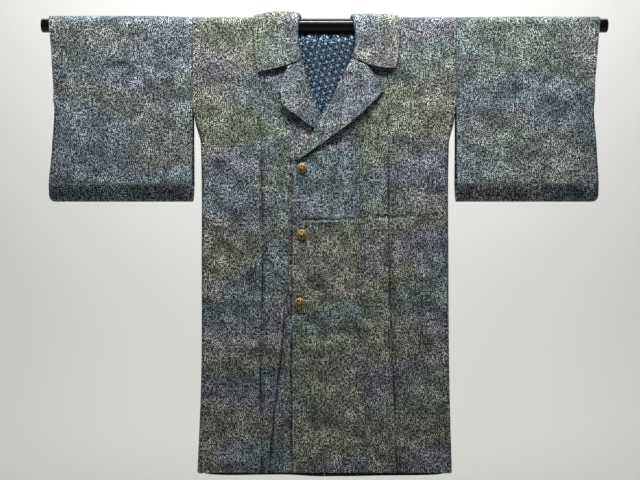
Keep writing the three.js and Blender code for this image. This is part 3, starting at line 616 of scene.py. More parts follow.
class Finish(Nodes):
    """A material. Its colours and heights come from the place on the cloth, or in the solid."""

    def __init__(self, name):
        self.material = bpy.data.materials.new(name)
        self.material.use_nodes = True
        super().__init__(self.material.node_tree)
        self.tree.nodes.clear()
        self.surface = self.add("ShaderNodeBsdfPrincipled")
        self.output = self.add("ShaderNodeOutputMaterial", Surface=self.surface.outputs["BSDF"])

    def mix(self, factor, a, b, blend="MIX"):
        node = self.add("ShaderNodeMix", {"data_type": "RGBA", "blend_type": blend})
        for socket, value in ((0, factor), (6, a), (7, b)):
            self.feed(node, socket, value)
        return node.outputs[2]

    def times(self, a, b):
        return self.mix(1.0, a, b, "MULTIPLY")

    def ramp(self, factor, *stops):
        node = self.add("ShaderNodeValToRGB", Fac=factor)
        node.color_ramp.interpolation = "EASE"
        bar = node.color_ramp.elements
        while len(bar) < len(stops):
            bar.new(0.5)
        for element, (position, colour) in zip(bar, stops):
            element.position = position
            element.color = colour if hasattr(colour, "__len__") else (colour, colour, colour, 1)
        return node.outputs[0]

    def split(self, vector):
        return self.add("ShaderNodeSeparateXYZ", Vector=vector).outputs

    def mark(self, name):
        """A number that the mesh carries at its points, 0 where it carries none."""
        return self.add("ShaderNodeAttribute", {"attribute_name": name}).outputs["Fac"]

    def solid_place(self):
        """The place in the solid, in metres."""
        return self.add("ShaderNodeTexCoord").outputs["Object"]

    def place(self, scale=(1, 1, 1), offset=(0, 0, 0), turn=0.0):
        """The place on the cloth, in metres, stretched and moved."""
        uv = self.add("ShaderNodeUVMap", {"uv_map": "weft"}).outputs["UV"]
        node = self.add("ShaderNodeMapping", Vector=uv, Scale=scale, Location=offset, Rotation=(0, 0, turn))
        return node.outputs[0]

    def noise(self, vector, scale, detail=2.0, rough=0.5, distortion=0.0):
        node = self.add("ShaderNodeTexNoise", {"noise_dimensions": "2D"}, Vector=vector, Scale=scale,
                        Detail=detail, Roughness=rough, Distortion=distortion)
        return node.outputs["Fac"]

    def grain(self, scale, detail=2.0, stretch=None):
        """Noise that runs through the solid, for the pieces that aren't cloth."""
        where = self.solid_place()
        if stretch is not None:
            where = self.add("ShaderNodeMapping", Vector=where, Scale=stretch).outputs[0]
        return self.add("ShaderNodeTexNoise", Vector=where, Scale=scale, Detail=detail).outputs["Fac"]

    def figure(self, vector, scale, frequency, evenness):
        """Short winding strokes of one width, from ripples laid in random directions."""
        node = self.add("ShaderNodeTexGabor", {"gabor_type": "2D"}, Vector=vector, Scale=scale,
                        Frequency=frequency, Anisotropy=evenness)
        return node.outputs["Value"]

    def bump(self, height, strength, distance, **under):
        """A normal for the surface, with another one under it where Normal is given."""
        node = self.add("ShaderNodeBump", Strength=strength, Distance=distance, Height=height, **under)
        return node.outputs[0]

    def set(self, **inputs):
        for key, value in inputs.items():
            self.feed(self.surface, key.replace("_", " "), value)
        return self.material


def rgb(red, green, blue):
    """A colour named by its screen values, 0 to 255, as light."""
    shares = (value / 255 for value in (red, green, blue))
    return (*(v / 12.92 if v <= 0.04045 else ((v + 0.055) / 1.055) ** 2.4 for v in shares), 1.0)


def coat_cloth():
    """Dark crepe under a fine pale crinkled figure, dyed in broad soft patches. Its colour also carries
    painted shade in the slits, creases and inner faces, a painted highlight on the overlaps' free edges, and
    broad lighter and darker patches that are partly painted shade.
    """
    f = Finish("Figured crepe")
    cool = f.noise(f.place((3.0, 6.6, 1)), 1.0, 1.4, 0.45, 0.5)
    mauve = f.noise(f.place((3.6, 7.4, 1), (3.7, 1.3, 0)), 1.0, 1.2, 0.4, 0.4)
    first = f.ramp(cool, (0.36, rgb(110, 121, 135)), (0.62, rgb(128, 131, 113)))
    second = f.ramp(mauve, (0.36, rgb(113, 129, 119)), (0.64, rgb(131, 123, 129)))
    dye = f.mix(0.42, first, second)
    bolt = f.math("MULTIPLY", f.split(f.place())[0], 0.1)
    lot = f.ramp(bolt, (0.69, 0.0), (0.72, 0.3))
    dye = f.mix(lot, dye, rgb(108, 124, 136))
    # Broad random patches, lighter and darker: partly uneven dye, partly painted shade standing in for the
    # soft light and dark of crumpled cloth.
    dye_and_crumple_shade = f.noise(f.place((1, 1.4, 1), (1.1, 5.3, 0)), 13.0, 3.0, 0.6, 0.5)
    dye = f.times(dye, f.ramp(dye_and_crumple_shade, (0.32, 0.66), (0.68, 1.22)))
    strokes = f.figure(f.place((1, 1.2, 1)), 58.0, 3.5, 0.0)
    breaks = f.noise(f.place(), 190.0, 2.0, 0.6)
    strokes = f.math("ADD", strokes, f.math("MULTIPLY_ADD", breaks, 0.9, -0.45))
    strokes = f.ramp(strokes, (0.45, 0.0), (0.68, 1.0))
    cluster = f.noise(f.place(), 38.0, 3.0, 0.6)
    ground = f.times(dye, (0.08, 0.084, 0.088, 1))
    glow = f.ramp(cluster, (0.32, 1.0), (0.66, 0.5))
    pale = f.times(f.times(dye, (3.3, 3.3, 3.25, 1)), glow)
    # Painted shade from the hollow mark, broken up by noise: dark in the slits, creases and inner faces, and
    # a painted highlight where the mark is below 0.
    broken = f.ramp(f.noise(f.place(), 60.0, 2.0, 0.6), (0.36, 0.6), (0.55, 1.0))
    level = f.math("MULTIPLY_ADD", f.math("MULTIPLY", f.mark("hollow"), broken), 0.5, 0.5)
    shade = f.ramp(level, (0.1, 1.6), (0.46, 1.0), (0.58, 1.0), (0.95, 0.3))
    colour = f.times(f.mix(strokes, ground, pale), shade)
    crepe = f.noise(f.place(), 1400.0, 2.0, 0.6)
    crumple = f.bump(f.noise(f.place(), 42.0, 3.0, 0.55, 0.4), 0.5, 0.0022)
    raised = f.bump(strokes, 0.35, 0.0005, Normal=crumple)
    normal = f.bump(crepe, 0.3, 0.00025, Normal=raised)
    return f.set(Base_Color=colour, Roughness=0.75, Normal=normal, Sheen_Weight=0.08,
                 Sheen_Roughness=0.5, Specular_IOR_Level=0.35)


def lining_silk():
    """Navy silk with pale stars on a slanting lattice, in a ground of small pale dots, painted lighter
    towards its top and painted dark inside the coat.
    """
    f = Finish("Star lattice lining silk")
    cell, slant = 0.0165, math.radians(14)
    u, v = f.split(f.place(turn=slant))[:2]

    def from_middle(value, size, shift):
        share = f.math("FRACT", f.math("MULTIPLY_ADD", value, 1 / size, shift))
        return f.math("SUBTRACT", share, 0.5)

    def to_nearest(shift):
        """Distance from the nearest point of a rectangular grid, in cells."""
        du = from_middle(u, cell, shift)
        dv = f.math("MULTIPLY", from_middle(v, cell * 3**0.5, shift), 3**0.5)
        return f.math("SQRT", f.math("ADD", f.math("MULTIPLY", du, du), f.math("MULTIPLY", dv, dv)))

    wobble = f.noise(f.place(), 300.0, 2.0, 0.6)
    star = f.math("MINIMUM", to_nearest(0.5), to_nearest(0.0))
    star = f.math("MULTIPLY_ADD", wobble, 0.16, f.math("SUBTRACT", star, 0.08))
    dots = f.ramp(star, (0.08, 0.7), (0.27, 0.0))
    spots = f.add("ShaderNodeTexVoronoi", {"voronoi_dimensions": "2D"}, Vector=f.place(), Scale=222.0)
    specks = f.ramp(spots.outputs["Distance"], (0.08, 1.0), (0.25, 0.0))
    ring = f.ramp(f.math("ABSOLUTE", f.math("SUBTRACT", star, 0.42)), (0.05, 1.0), (0.12, 0.45))
    specks = f.math("MULTIPLY", specks, ring)
    drift = f.noise(f.place((9, 9, 1)), 1.0, 2.0)
    ground = f.mix(drift, rgb(0, 12, 26), rgb(0, 36, 62))
    colour = f.mix(specks, ground, rgb(192, 226, 240))
    colour = f.mix(dots, colour, rgb(168, 196, 212))
    # Painted light: the silk is made lighter towards its top edge under the pole, up to 2.2 times.
    height = f.split(f.solid_place())[2]
    painted_top_light = f.ramp(f.math("MULTIPLY_ADD", height, 10.0, 1.0), (0.45, 1.0), (0.75, 2.2))
    colour = f.times(colour, painted_top_light)
    # Painted shade where the silk lines the inside of the body panels and overlaps, read from the hollow
    # mark.
    colour = f.times(colour, f.ramp(f.mark("hollow"), (0.2, 1.0), (0.85, 0.12)))
    weave = f.noise(f.place((1, 4, 1)), 1500.0, 1.0)
    return f.set(Base_Color=colour, Roughness=0.45, Normal=f.bump(weave, 0.15, 0.0002),
                 Sheen_Weight=0.03, Specular_IOR_Level=0.25)


def pole_lacquer():
    f = Finish("Gloss black lacquer")
    haze = f.ramp(f.grain(55.0, 3.0), (0.35, 0.13), (0.7, 0.24))
    scratches = f.grain(22.0, 4.0, stretch=(3, 90, 90))
    return f.set(Base_Color=rgb(9, 10, 8), Roughness=haze, Specular_IOR_Level=0.4,
                 Normal=f.bump(scratches, 0.03, 0.0004))


def plug_rubber():
    f = Finish("Black end plug")
    return f.set(Base_Color=rgb(20, 20, 20), Roughness=0.6, Normal=f.bump(f.grain(900.0), 0.2, 0.0002))


def antique_gold():
    """Cast gilt metal, dark in the hollows and worn bright on the high places."""
    f = Finish("Antique gilt")
    grain = f.grain(420.0, 4.0)
    worn = f.math("MULTIPLY_ADD", grain, 0.35, f.math("SUBTRACT", f.mark("high"), 0.17))
    tone = f.ramp(worn, (0.22, rgb(10, 6, 3)), (0.36, rgb(142, 106, 52)), (0.56, rgb(255, 238, 186)))
    rough = f.ramp(worn, (0.3, 0.5), (0.75, 0.24))
    metal = f.ramp(worn, (0.3, 0.25), (0.6, 0.55))
    return f.set(Base_Color=tone, Metallic=metal, Roughness=rough, Normal=f.bump(grain, 0.12, 0.0003))


def sewing_thread(name, colour):
    f = Finish(name)
    grain = f.grain(2600.0)
    tint = f.mix(grain, colour, tuple(c * 1.6 for c in colour[:3]) + (1,))
    return f.set(Base_Color=tint, Roughness=0.55, Sheen_Weight=0.2, Normal=f.bump(grain, 0.3, 0.0001))


CREPE = coat_cloth()
SILK = lining_silk()
LACQUER = pole_lacquer()
PLUG = plug_rubber()
GILT = antique_gold()
DARK_THREAD = sewing_thread("Charcoal silk thread", rgb(46, 48, 54))
NAVY_THREAD = sewing_thread("Navy silk thread", rgb(40, 62, 88))


# ---- Body panels ----


def levels_from_hem(top):
    """Heights of the rows from the hem up to a level, close together on the pressed crease."""
    return joined([HEM_Z, HEM_Z + HEM_EDGE], spaced(HEM_Z + HEM_ROW, CREASE_BOTTOM_Z, ROW_STEP),
                  spaced(CREASE_BOTTOM_Z, CREASE_TOP_Z, CREASE_STEP), spaced(CREASE_TOP_Z, top, ROW_STEP))


def body_rows():
    """Places along the cloth: up the front, over the pole, round the neck and down the back."""
    over = np.radians(np.linspace(-90, 60, 16)) * SHOULDER_RADIUS
    neck = NECK_BOTTOM - NECK_DROP * (np.arange(13, -1, -1) / 13) ** 3
    under = joined([NECK_BOTTOM], QUARTER - spaced(BACK_TOP_ROW_Z, HEM_Z + HEM_ROW, ROW_STEP),
                   [QUARTER - HEM_Z - HEM_EDGE, QUARTER - HEM_Z])
    return joined(front_s(levels_from_hem(TOP_ROW_Z)), over[over < neck[0] - 1], neck, under)


def body_inner_edge(s):
    """The panel's edge nearest the middle: the overlap's seam, the neck, then the centre back."""
    front = read(FRONT_LINES, "z", np.minimum(s + QUARTER, 20), "seam") + SEAM / 2
    up = np.clip((NECK_BOTTOM - s) / NECK_DROP, 0, 1)
    return np.where(s < 0, front, np.maximum(NECK_HALF * np.cbrt(up), SEAM / 2))


# The rounded side of a panel or sleeve: how far each column has turned. Each of the two faces has its
# lift, and its inset where the side is closed.
SIDE_TURNS = np.radians([[12, 25, 40, 55, 70, 80, 90]])
TWO_FACES = ((0.0, 0.0), (-CLOTH, CLOTH))


def with_side(across, flat_end):
    """Widths of the flat cloth and of the rounded side beyond it, measured along the cloth."""
    return np.concatenate([across, flat_end + SIDE_CURL * SIDE_TURNS / (math.pi / 2)], axis=1)


def shut_side(points, closed, where):
    """Bends a rounded side towards the seam with the other face, as far as it is closed there."""
    y = points[..., 1]
    depth = np.sign(y) * np.maximum(np.abs(y) * (1 - closed * (1 - np.cos(SIDE_TURNS))), SEAM / 2)
    points[..., 1] = np.where(where, depth, y)
    return points


def body_panel(name, side, cloth_offset):
    """One half of the body, front and back in one length of cloth."""
    s = body_rows()[:, None]
    z = QUARTER - np.abs(s)
    start = body_inner_edge(s)
    pleat = read(FRONT_LINES, "z", z, "left_pleat" if side > 0 else "right_pleat")
    edge = read(SIDE_EDGE, "z", z, "left" if side > 0 else "right")
    closed = smooth(-z, -ARMHOLE_Z, -CLOSED_SIDE_Z)
    flat_end = edge - SIDE_CURL
    parts = [start, start + HEM_EDGE]
    parts += [lerp(start + HEM_EDGE, pleat - 10, t) for t in np.linspace(0, 1, 38)[1:]]
    parts += [pleat + d for d in (-8.5, -7.5, -6.5, -5, -3.8, -3, -2.2, -1.4, -0.6, 0.2, 1, 2,
                                  3.5, 5.5, 6.5, 7.5, 8.5, 10)]
    parts += [lerp(pleat + 10, flat_end, t) for t in np.linspace(0, 1, 28)[1:]]
    across = np.concatenate(parts, axis=1)
    grids = []
    for lift, inset in TWO_FACES:
        flat = place(side * across, s, lift)
        reach = (SIDE_CURL - inset * closed) * np.sin(SIDE_TURNS)
        curl = place(side * (flat_end + reach), s, lift)
        grids.append(np.concatenate([flat, shut_side(curl, closed, curl[..., 2] < 0)], axis=1))
    cut = with_side(across, flat_end)
    # Painted shade in the front's slits and creases, none on the back.
    hollow = np.where(s < 0, front_hollow(side * cut, z), 0)
    return shell(name, *grids, weft_at(side * cut, s, cloth_offset), [CREPE, SILK], hollow=hollow)


# ---- Front overlap panels and lapels ----

PLAIN_END_Z = -335.0
SLIP_STITCH_TOP_Z = -345.0


def panel_edge(lapel, side, z):
    """The panel's free edge beside the lapel's roll, where the facing starts."""
    roll = read(lapel, "roll_z", z, "roll_x")
    slope = (read(lapel, "roll_z", z + 4, "roll_x") - read(lapel, "roll_z", z - 4, "roll_x")) / 8
    return roll + side * (ROLL_RADIUS + FOLD_JOIN) * np.hypot(1, slope)


def overlap_panel(name, side, lapel, lift, edge_x, cloth_offset):
    """A front overlap, from its seam to the free edge, which carries a painted highlight along that edge
    (hollow below 0).
    """
    top, end = lapel[0]["roll_z"] - 5.5, lapel[-1]["roll_z"]
    plain_end = min(PLAIN_END_Z, end)
    z = joined(levels_from_hem(plain_end), spaced(plain_end, end, 5),
               spaced(end, top + HEM_EDGE, 4.5), [top])[:, None]
    seam = side * (read(FRONT_LINES, "z", z, "seam") - SEAM / 2)
    turned = panel_edge(lapel, side, np.maximum(z, end))
    share = np.clip((z - plain_end) / max(end - plain_end, 1e-6), 0, 1)
    edge = np.where(z > end, turned, lerp(edge_x, turned, share))
    width = np.abs(edge - seam)
    t = joined([0], [0.012], np.linspace(0.035, 0.965, 42), [0.988], [1])[None, :]
    across = lerp(seam, edge, t)
    outer, inner = (place(across, front_s(z), lift(across, z) - d) for d in (0, CLOTH))
    weft = weft_at(across, front_s(z), cloth_offset)
    facing = np.mean((1 - t) * width, axis=0)[:-1] < FACING_WIDTH
    # A painted highlight along the free edge: hollow falls to -0.6 within about 1.5 mm of it, over the
    # front's painted shade.
    painted_edge_highlight = 1 - smooth((1 - t) * width, 1.5, 4.5)
    hollow = lerp(front_hollow(across, z), -0.6, painted_edge_highlight)
    return shell(name, outer, inner, weft, [CREPE, SILK], facing=facing, hollow=hollow)


def slit_rim(spot, angles, grow=0.0):
    """The middle of a buttonhole, and places round it: a slot with half-round ends."""
    half, r = BUTTONHOLE["length"] / 2, BUTTONHOLE["height"] / 2
    middle = spot["x"] + half - BUTTONHOLE["to_edge"]
    x = middle + np.copysign(half - r, np.cos(angles)) + (r + grow) * np.cos(angles)
    return middle, x, spot["z"] + (r + grow) * np.sin(angles)


def cut_buttonholes(panel):
    """Cuts the slit of each buttonhole through the upper front."""
    sides = 24
    points, faces = [], []
    for spot in BUTTONS:
        start = len(points)
        _, xs, zs = slit_rim(spot, 2 * math.pi * np.arange(sides) / sides)
        for y in (-60.0, 0.0):
            points += [(x, y, z) for x, z in zip(xs, zs)]
        faces.append(tuple(start + k for k in range(sides)))
        faces.append(tuple(start + 2 * sides - 1 - k for k in range(sides)))
        for k in range(sides):
            n = (k + 1) % sides
            faces.append((start + k, start + sides + k, start + sides + n, start + n))
    cutter = mesh_object("buttonhole_punch", points, faces, [CREPE])
    solver = panel.modifiers.new("Buttonholes", "BOOLEAN")
    solver.object = cutter
    solver.solver = "EXACT"
    apply_modifiers(panel)
    bpy.data.objects.remove(cutter)


def turned_sections(sections, standing):
    """A turned-back piece as grids of x, s and lift: standing leg, roll, then the outer leg."""
    rows = []
    for number in range(len(sections["roll_x"])):
        g = {key: float(values[number]) for key, values in sections.items()}
        roll, middle, edge = (np.array([g[k + "_x"], g[k + "_s"]]) for k in ("roll", "middle", "edge"))
        out = (middle - roll) / np.linalg.norm(middle - roll)
        radius = (g["roll_lift"] + CLOTH / 2) / 2
        row = []
        if standing:
            seam = np.array([g["seam_x"], g["seam_s"]])
            leg_end = roll + out * radius
            for t in np.linspace(0, 1, 9)[:-1]:
                x, s = lerp(seam, leg_end, t)
                row.append((x, s, -CLOTH / 2))
        for turn in np.radians(np.linspace(-90, 90, 11)):
            x, s = roll + out * radius * (1 - math.cos(turn))
            row.append((x, s, g["roll_lift"] - radius + radius * math.sin(turn)))
        a = np.array(row[-1])
        b = np.array([*middle, g["middle_lift"]])
        c = np.array([*edge, g["edge_lift"]])
        shares = joined(np.linspace(0, 1, 19)[1:-1], [0.985, 1])
        leg = np.array(bent_line(a, b, c, shares))
        if not standing:
            knee = np.linalg.norm(b - a) / (np.linalg.norm(b - a) + np.linalg.norm(c - b))
            for k in (0, 1):
                leg[:, k] = np.interp(shares, (0, knee, 1), (a[k], b[k], c[k]))
        rows.append([*row, *leg])
    return np.array(rows)


def bent_line(a, b, c, shares):
    """Points on a smooth line through a, b and c, by their share of its length."""
    first, second = np.linalg.norm(b - a), np.linalg.norm(c - b)
    knee = first / (first + second)
    slope = (b - a) / first * (1 - knee) + (c - b) / second * knee
    slope = slope * (first + second)
    points = []
    for t in shares:
        if t < knee:
            first_slope = (3 * (b - a) / knee - slope) / 2
            points.append(hermite(t / knee, knee, a, b, first_slope, slope))
        else:
            span = 1 - knee
            last_slope = (3 * (c - b) / span - slope) / 2
            points.append(hermite((t - knee) / span, span, b, c, slope, last_slope))
    return points


def wall_around(name, grid, weft, materials, thick=CLOTH):
    """A cloth wall with half its thickness on each side of a grid of points."""
    down = np.gradient(grid, axis=0)
    across = np.gradient(grid, axis=1)
    normal = np.cross(down, across)
    normal /= np.linalg.norm(normal, axis=-1, keepdims=True)
    return shell(name, grid + normal * thick / 2, grid - normal * thick / 2, weft, materials)


def length_down(grid, column):
    """The distance down one column of a grid."""
    steps = np.linalg.norm(np.diff(grid[:, column], axis=0), axis=-1)
    return np.cumsum(np.r_[0, steps])[:, None]


def lengths_across(grid):
    """The distance along each row of a grid."""
    steps = np.linalg.norm(np.diff(grid, axis=1), axis=-1)
    return np.concatenate([np.zeros((len(grid), 1)), np.cumsum(steps, axis=1)], axis=1)


COLLAR_CLOTH = (1480, 0)


def collar_piece():
    """The turned collar round the neck, its edge a little wavy on the wearer's right."""
    turn = joined([0, 0.03], np.linspace(0.1, 11.9, 150), [11.97, 12])
    sections = {k: read(COLLAR_SECTIONS, "turn", turn, k) for k in COLLAR_SECTIONS[0] if k != "turn"}
    parts = turned_sections(sections, standing=True)
    ripple = 0.9 * np.sin(turn * 4.1) * np.exp(-((turn - 3) / 1.4) ** 2)
    parts[..., 2] += ripple[:, None] * smooth(np.arange(parts.shape[1]), 12, 26)[None, :]
    grid = place(parts[..., 0], parts[..., 1], parts[..., 2])
    weft = weft_at(lengths_across(grid), length_down(grid, -1), COLLAR_CLOTH)
    return wall_around("turned_collar", grid, weft, [CREPE])


def lapel_piece(name, lapel, lift, cloth_offset):
    """A lapel facing turned back over its front."""
    rows = [dict(row, turn=k) for k, row in enumerate(lapel)]
    last = len(rows) - 1
    turn = joined([0, 0.025], np.linspace(0.08, last - 0.05, 15 * last), [last])
    sections = {key: read(rows, "turn", turn, key) for key in lapel[0]}
    for part in ("roll", "middle", "edge"):
        sections[part + "_s"] = front_s(sections[part + "_z"])
    sections["roll_lift"] = np.full(len(turn), LAPEL_ROLL_LIFT)
    parts = turned_sections(sections, standing=False)
    x, s, out = parts[..., 0], parts[..., 1], parts[..., 2]
    grid = place(x, s, out + lift(x, s + QUARTER))
    return wall_around(name, grid, weft_at(x, s, cloth_offset), [CREPE])


# ---- Sleeves ----


def sleeve_piece(name, side, cloth_offset):
    """A sleeve: one cloth over the pole and round the fold at its bottom, with a hole for the hand."""
    hand = "left" if side > 0 else "right"
    walls = spaced(SLEEVE_FOLD_Z, TOP_ROW_Z, SLEEVE_ROW_STEP)
    over = np.radians(np.linspace(-90, 90, 19)) * SHOULDER_RADIUS
    s_rows = joined(front_s(walls), over, QUARTER - walls[::-1])
    fold = np.radians(np.linspace(180, 0, 19)[1:-1])
    is_fold = np.r_[np.zeros(len(s_rows), bool), np.ones(len(fold), bool)]
    s = np.r_[s_rows, np.zeros(len(fold))][:, None]
    turn = np.r_[np.zeros(len(s_rows)), fold][:, None]
    run = np.r_[s_rows, s_rows[-1] + np.cumsum(np.full(len(fold), SLEEVE_FOLD_STEP))][:, None]
    power = 2 / SLEEVE_FOLD_BLUNTNESS

    def points(x, lift):
        """The sleeve's face at x in every row, moved out by lift."""
        rise = SLEEVE_RISE[hand] * smooth(np.abs(x), SHOULDER_HALF, SHOULDER_HALF + SLEEVE_RISE["over"])
        wall = place(x, s, lift, sleeve_front, sleeve_back, rise)
        half = np.where(turn < math.pi / 2, sleeve_front(x, SLEEVE_FOLD_Z), sleeve_back(x, SLEEVE_FOLD_Z))
        c, n = np.cos(turn), np.sin(turn)
        y = -(half + lift) * np.sign(c) * np.abs(c) ** power
        z = SLEEVE_FOLD_Z - (SLEEVE_FOLD_HEIGHT + lift) * np.abs(n) ** power
        bottom = np.stack(np.broadcast_arrays(x, y, z), axis=-1)
        return np.where(is_fold[:, None, None], bottom, wall)

    z = points(np.full_like(s, side * SLEEVE_MIDDLE_X), 0.0)[..., 2]
    low = np.maximum(SLEEVE_BOTTOM_Z + SLEEVE_CORNER - z, 0)
    corner = np.where(low > 0, SLEEVE_CORNER - np.sqrt(np.maximum(SLEEVE_CORNER**2 - low**2, 0)), 0)
    edge = read(SLEEVE_ENDS, "z", z, hand) - corner
    closed = smooth(-z, -WRIST_Z, -WRIST_Z + WRIST_EASE)
    start = SHOULDER_HALF + SEAM
    flat_end = edge - SIDE_CURL
    t = joined([0, 0.0055], np.linspace(0.02, 1, 46))[None, :]
    across = lerp(start, flat_end, t)
    at_fold = is_fold[:, None] & (np.abs(turn - math.pi / 2) < 0.01)
    grids = []
    for lift, inset in TWO_FACES:
        flat = points(side * across, lift)
        reach = (SIDE_CURL - inset * closed) * np.sin(SIDE_TURNS)
        curl = points(side * (flat_end + reach), lift)
        grids.append(np.concatenate([flat, shut_side(curl, closed, (closed > 0) & ~at_fold)], axis=1))
    weft = weft_at(side * with_side(across, flat_end), run, cloth_offset)
    return shell(name, *grids, weft, [CREPE, SILK], looped=True)


# ---- Lining ----


def lining_piece():
    """The lining inside the neck opening, puffed out in small waves below the pole."""
    rows = [dict(row, turn=k) for k, row in enumerate(LINING_SECTION)]
    turn = joined(np.linspace(0, 1, 4), np.linspace(1, 9, 50), np.linspace(9, 10, 6),
                  np.linspace(10, 12, 20), np.linspace(12, 14, 24))[:, None]
    side = spaced(90, LINING["half"], 5)
    x = joined(-side[::-1], spaced(-90, 90, 1.6), side)[None, :]
    plain_y, plain_z, puff_y, puff_z = (read(rows, "turn", turn, k) for k in LINING_SECTION[0])
    near = 1 - smooth(np.abs(x), LINING["flat_x"], LINING["end_x"])
    wave = LINING["wave"] * np.cos(2 * math.pi * x / LINING["wave_length"])
    frill = np.exp(-(((turn - 5.5) / 1.7) ** 2)) * near
    puff = near * (1 - LINING["wave"] + wave)
    y = lerp(plain_y, puff_y, puff) - frill * (0.9 * np.sin(x / 2.3) + 0.8 * np.sin(x / 3.7 + 1.3))
    crimp = 1.5 * np.sin(x / 1.85 + 0.9 * np.sin(x / 17)) + 0.6 * np.sin(x / 5.3)
    z = lerp(plain_z, puff_z, near) + frill * crimp
    soft = np.sin(x / 19 + z / 34) + 0.6 * np.sin(x / 11 - z / 23 + 1)
    y = y - 0.8 * soft * smooth(-z, 60, 90) * (1 - smooth(-z, 270, 330)) * near
    y = np.minimum(y, back_depth(x, z) - CLOTH - 0.9)
    grid = np.stack(np.broadcast_arrays(x, y, z), axis=-1)
    weft = weft_at(x, length_down(grid, LINING["run_column"]))
    return wall_around("neck_lining", grid, weft, [SILK], LINING["thick"])


# ---- Pole ----


def ring_faces(segments, rings):
    """The faces of a solid of rings of points, between a first and a last point on its axis."""
    faces = []
    for k in range(segments):
        n = (k + 1) % segments
        faces.append((0, 1 + k, 1 + n))
        for a in range(1, 1 + (rings - 1) * segments, segments):
            b = a + segments
            faces.append((a + k, b + k, b + n, a + n))
        a = 1 + (rings - 1) * segments
        faces.append((a + k, a + segments, a + n))
    return faces


def pole_piece():
    """The lacquered tube with a rimmed plug in each end."""
    half, r = POLE_LENGTH / 2, POLE_RADIUS
    left = [(-half, 0), (-half, 12.5), (-half + 0.25, 13.6), (-half + 0.9, 14.1), (-half + 0.9, 15.6),
            (-half + 0.3, 16.2), (-half + 0.9, 16.8), (-half + 2.2, r)]
    spans = [(x, r) for x in np.linspace(-half + 30, half - 30, 24)]
    profile = left + spans + [(-x, radius) for x, radius in left[::-1]]
    count = len(profile) - 1
    plug = [int(k < 4 or k >= count - 4) for k in range(count)]
    angles = 2 * math.pi * np.arange(96) / 96
    points = [(-half, 0, 0)]
    for x, radius in profile[1:-1]:
        points += [(x, radius * math.cos(a), radius * math.sin(a)) for a in angles]
    points.append((half, 0, 0))
    faces = ring_faces(len(angles), count - 1)
    return mesh_object("display_pole", points, faces, [LACQUER, PLUG], indices=plug * len(angles))


# ---- Buttons ----

PETALS = 5
BUTTON_ANGLES = 2 * math.pi * np.arange(120) / 120
# The button's underside as shares of its radius, depths and reliefs, and the shank's two radii.
BUTTON_BACK = ((1.0, -0.45, 0), (0.97, -0.1, -0.4), (0.9, 0.0, -0.6), (0.5, -0.4, -0.6), (0.2, -0.5, -0.6))
SHANK = {"radius": 2.3, "end": 1.9, "flat": 0.6, "relief": -0.3}
RELIEF = {"lowest": -0.6, "span": 1.9}


def button_height(share, angle):
    """Height of the cast face, and of its relief alone: petals, scrolls and a roped rim on a dome."""
    dome = 1.3 + 5.2 * (1 - share**2.4)
    petal = (np.cos(PETALS * angle + 0.5 * np.sin(2 * angle)) - 0.3) * np.sin(
        math.pi * np.clip((share - 0.12) / 0.52, 0, 1))
    vein = -0.5 * np.exp(-((share - 0.45) / 0.14) ** 2) * np.abs(np.cos(PETALS * angle / 2)) ** 14
    scroll = (np.cos(2 * PETALS * angle + 9 * share) - 0.15) * np.exp(-((share - 0.68) / 0.1) ** 2)
    rope = (0.4 + 0.35 * np.cos(30 * angle)) * np.exp(-((share - 0.9) / 0.045) ** 2)
    heart = 0.8 * np.exp(-((share / 0.11) ** 2))
    relief = 0.7 * petal + vein + 0.6 * scroll + 0.6 * rope + 0.7 * heart
    return dome + relief, relief


def button_piece(name, spot):
    """A cast button whose shank passes the slit and ends on the cloth below."""
    surface, under = (float(place(spot["x"], front_s(spot["z"]), lift(spot["x"], spot["z"]))[..., 1])
                      for lift in (upper_lift, under_lift))
    back_y = surface - BUTTON_STAND
    reach = under - SEAM - back_y
    rings = []
    for share in np.r_[np.linspace(0.04, 0.96, 34), 0.985, 1.0]:
        height, relief = button_height(share, BUTTON_ANGLES)
        rings.append((BUTTON_RADIUS * share, 1.0, -height, relief))
    rings += [(BUTTON_RADIUS * share, 1.0, y, relief) for share, y, relief in BUTTON_BACK]
    for r, y in ((SHANK["radius"], -0.3), (SHANK["radius"], reach * 0.6), (SHANK["end"], reach)):
        rings.append((r, SHANK["flat"], y, SHANK["relief"]))
    top, top_relief = button_height(0.0, 0.0)
    points, high = [(0, -top, 0)], [top_relief]
    for r, flat, y, relief in rings:
        ring = r * np.cos(BUTTON_ANGLES), y, flat * r * np.sin(BUTTON_ANGLES)
        points += [*np.stack(np.broadcast_arrays(*ring), axis=-1)]
        high += [*np.broadcast_to(relief, BUTTON_ANGLES.shape)]
    points = np.array([*points, (0, reach, 0)], float)
    high = np.array([*high, SHANK["relief"]])
    tilt = math.radians(spot["tilt"])
    y, z = points[:, 1].copy(), points[:, 2].copy()
    points[:, 1] = y * math.cos(tilt) - z * math.sin(tilt) + back_y
    points[:, 2] = y * math.sin(tilt) + z * math.cos(tilt) + spot["z"]
    points[:, 0] += spot["x"]
    worn = np.clip((high - RELIEF["lowest"]) / RELIEF["span"], 0, 1)
    return mesh_object(name, points, ring_faces(len(BUTTON_ANGLES), len(rings)), [GILT], high=worn)


# ---- Stitches ----


STITCH_SEED = 7


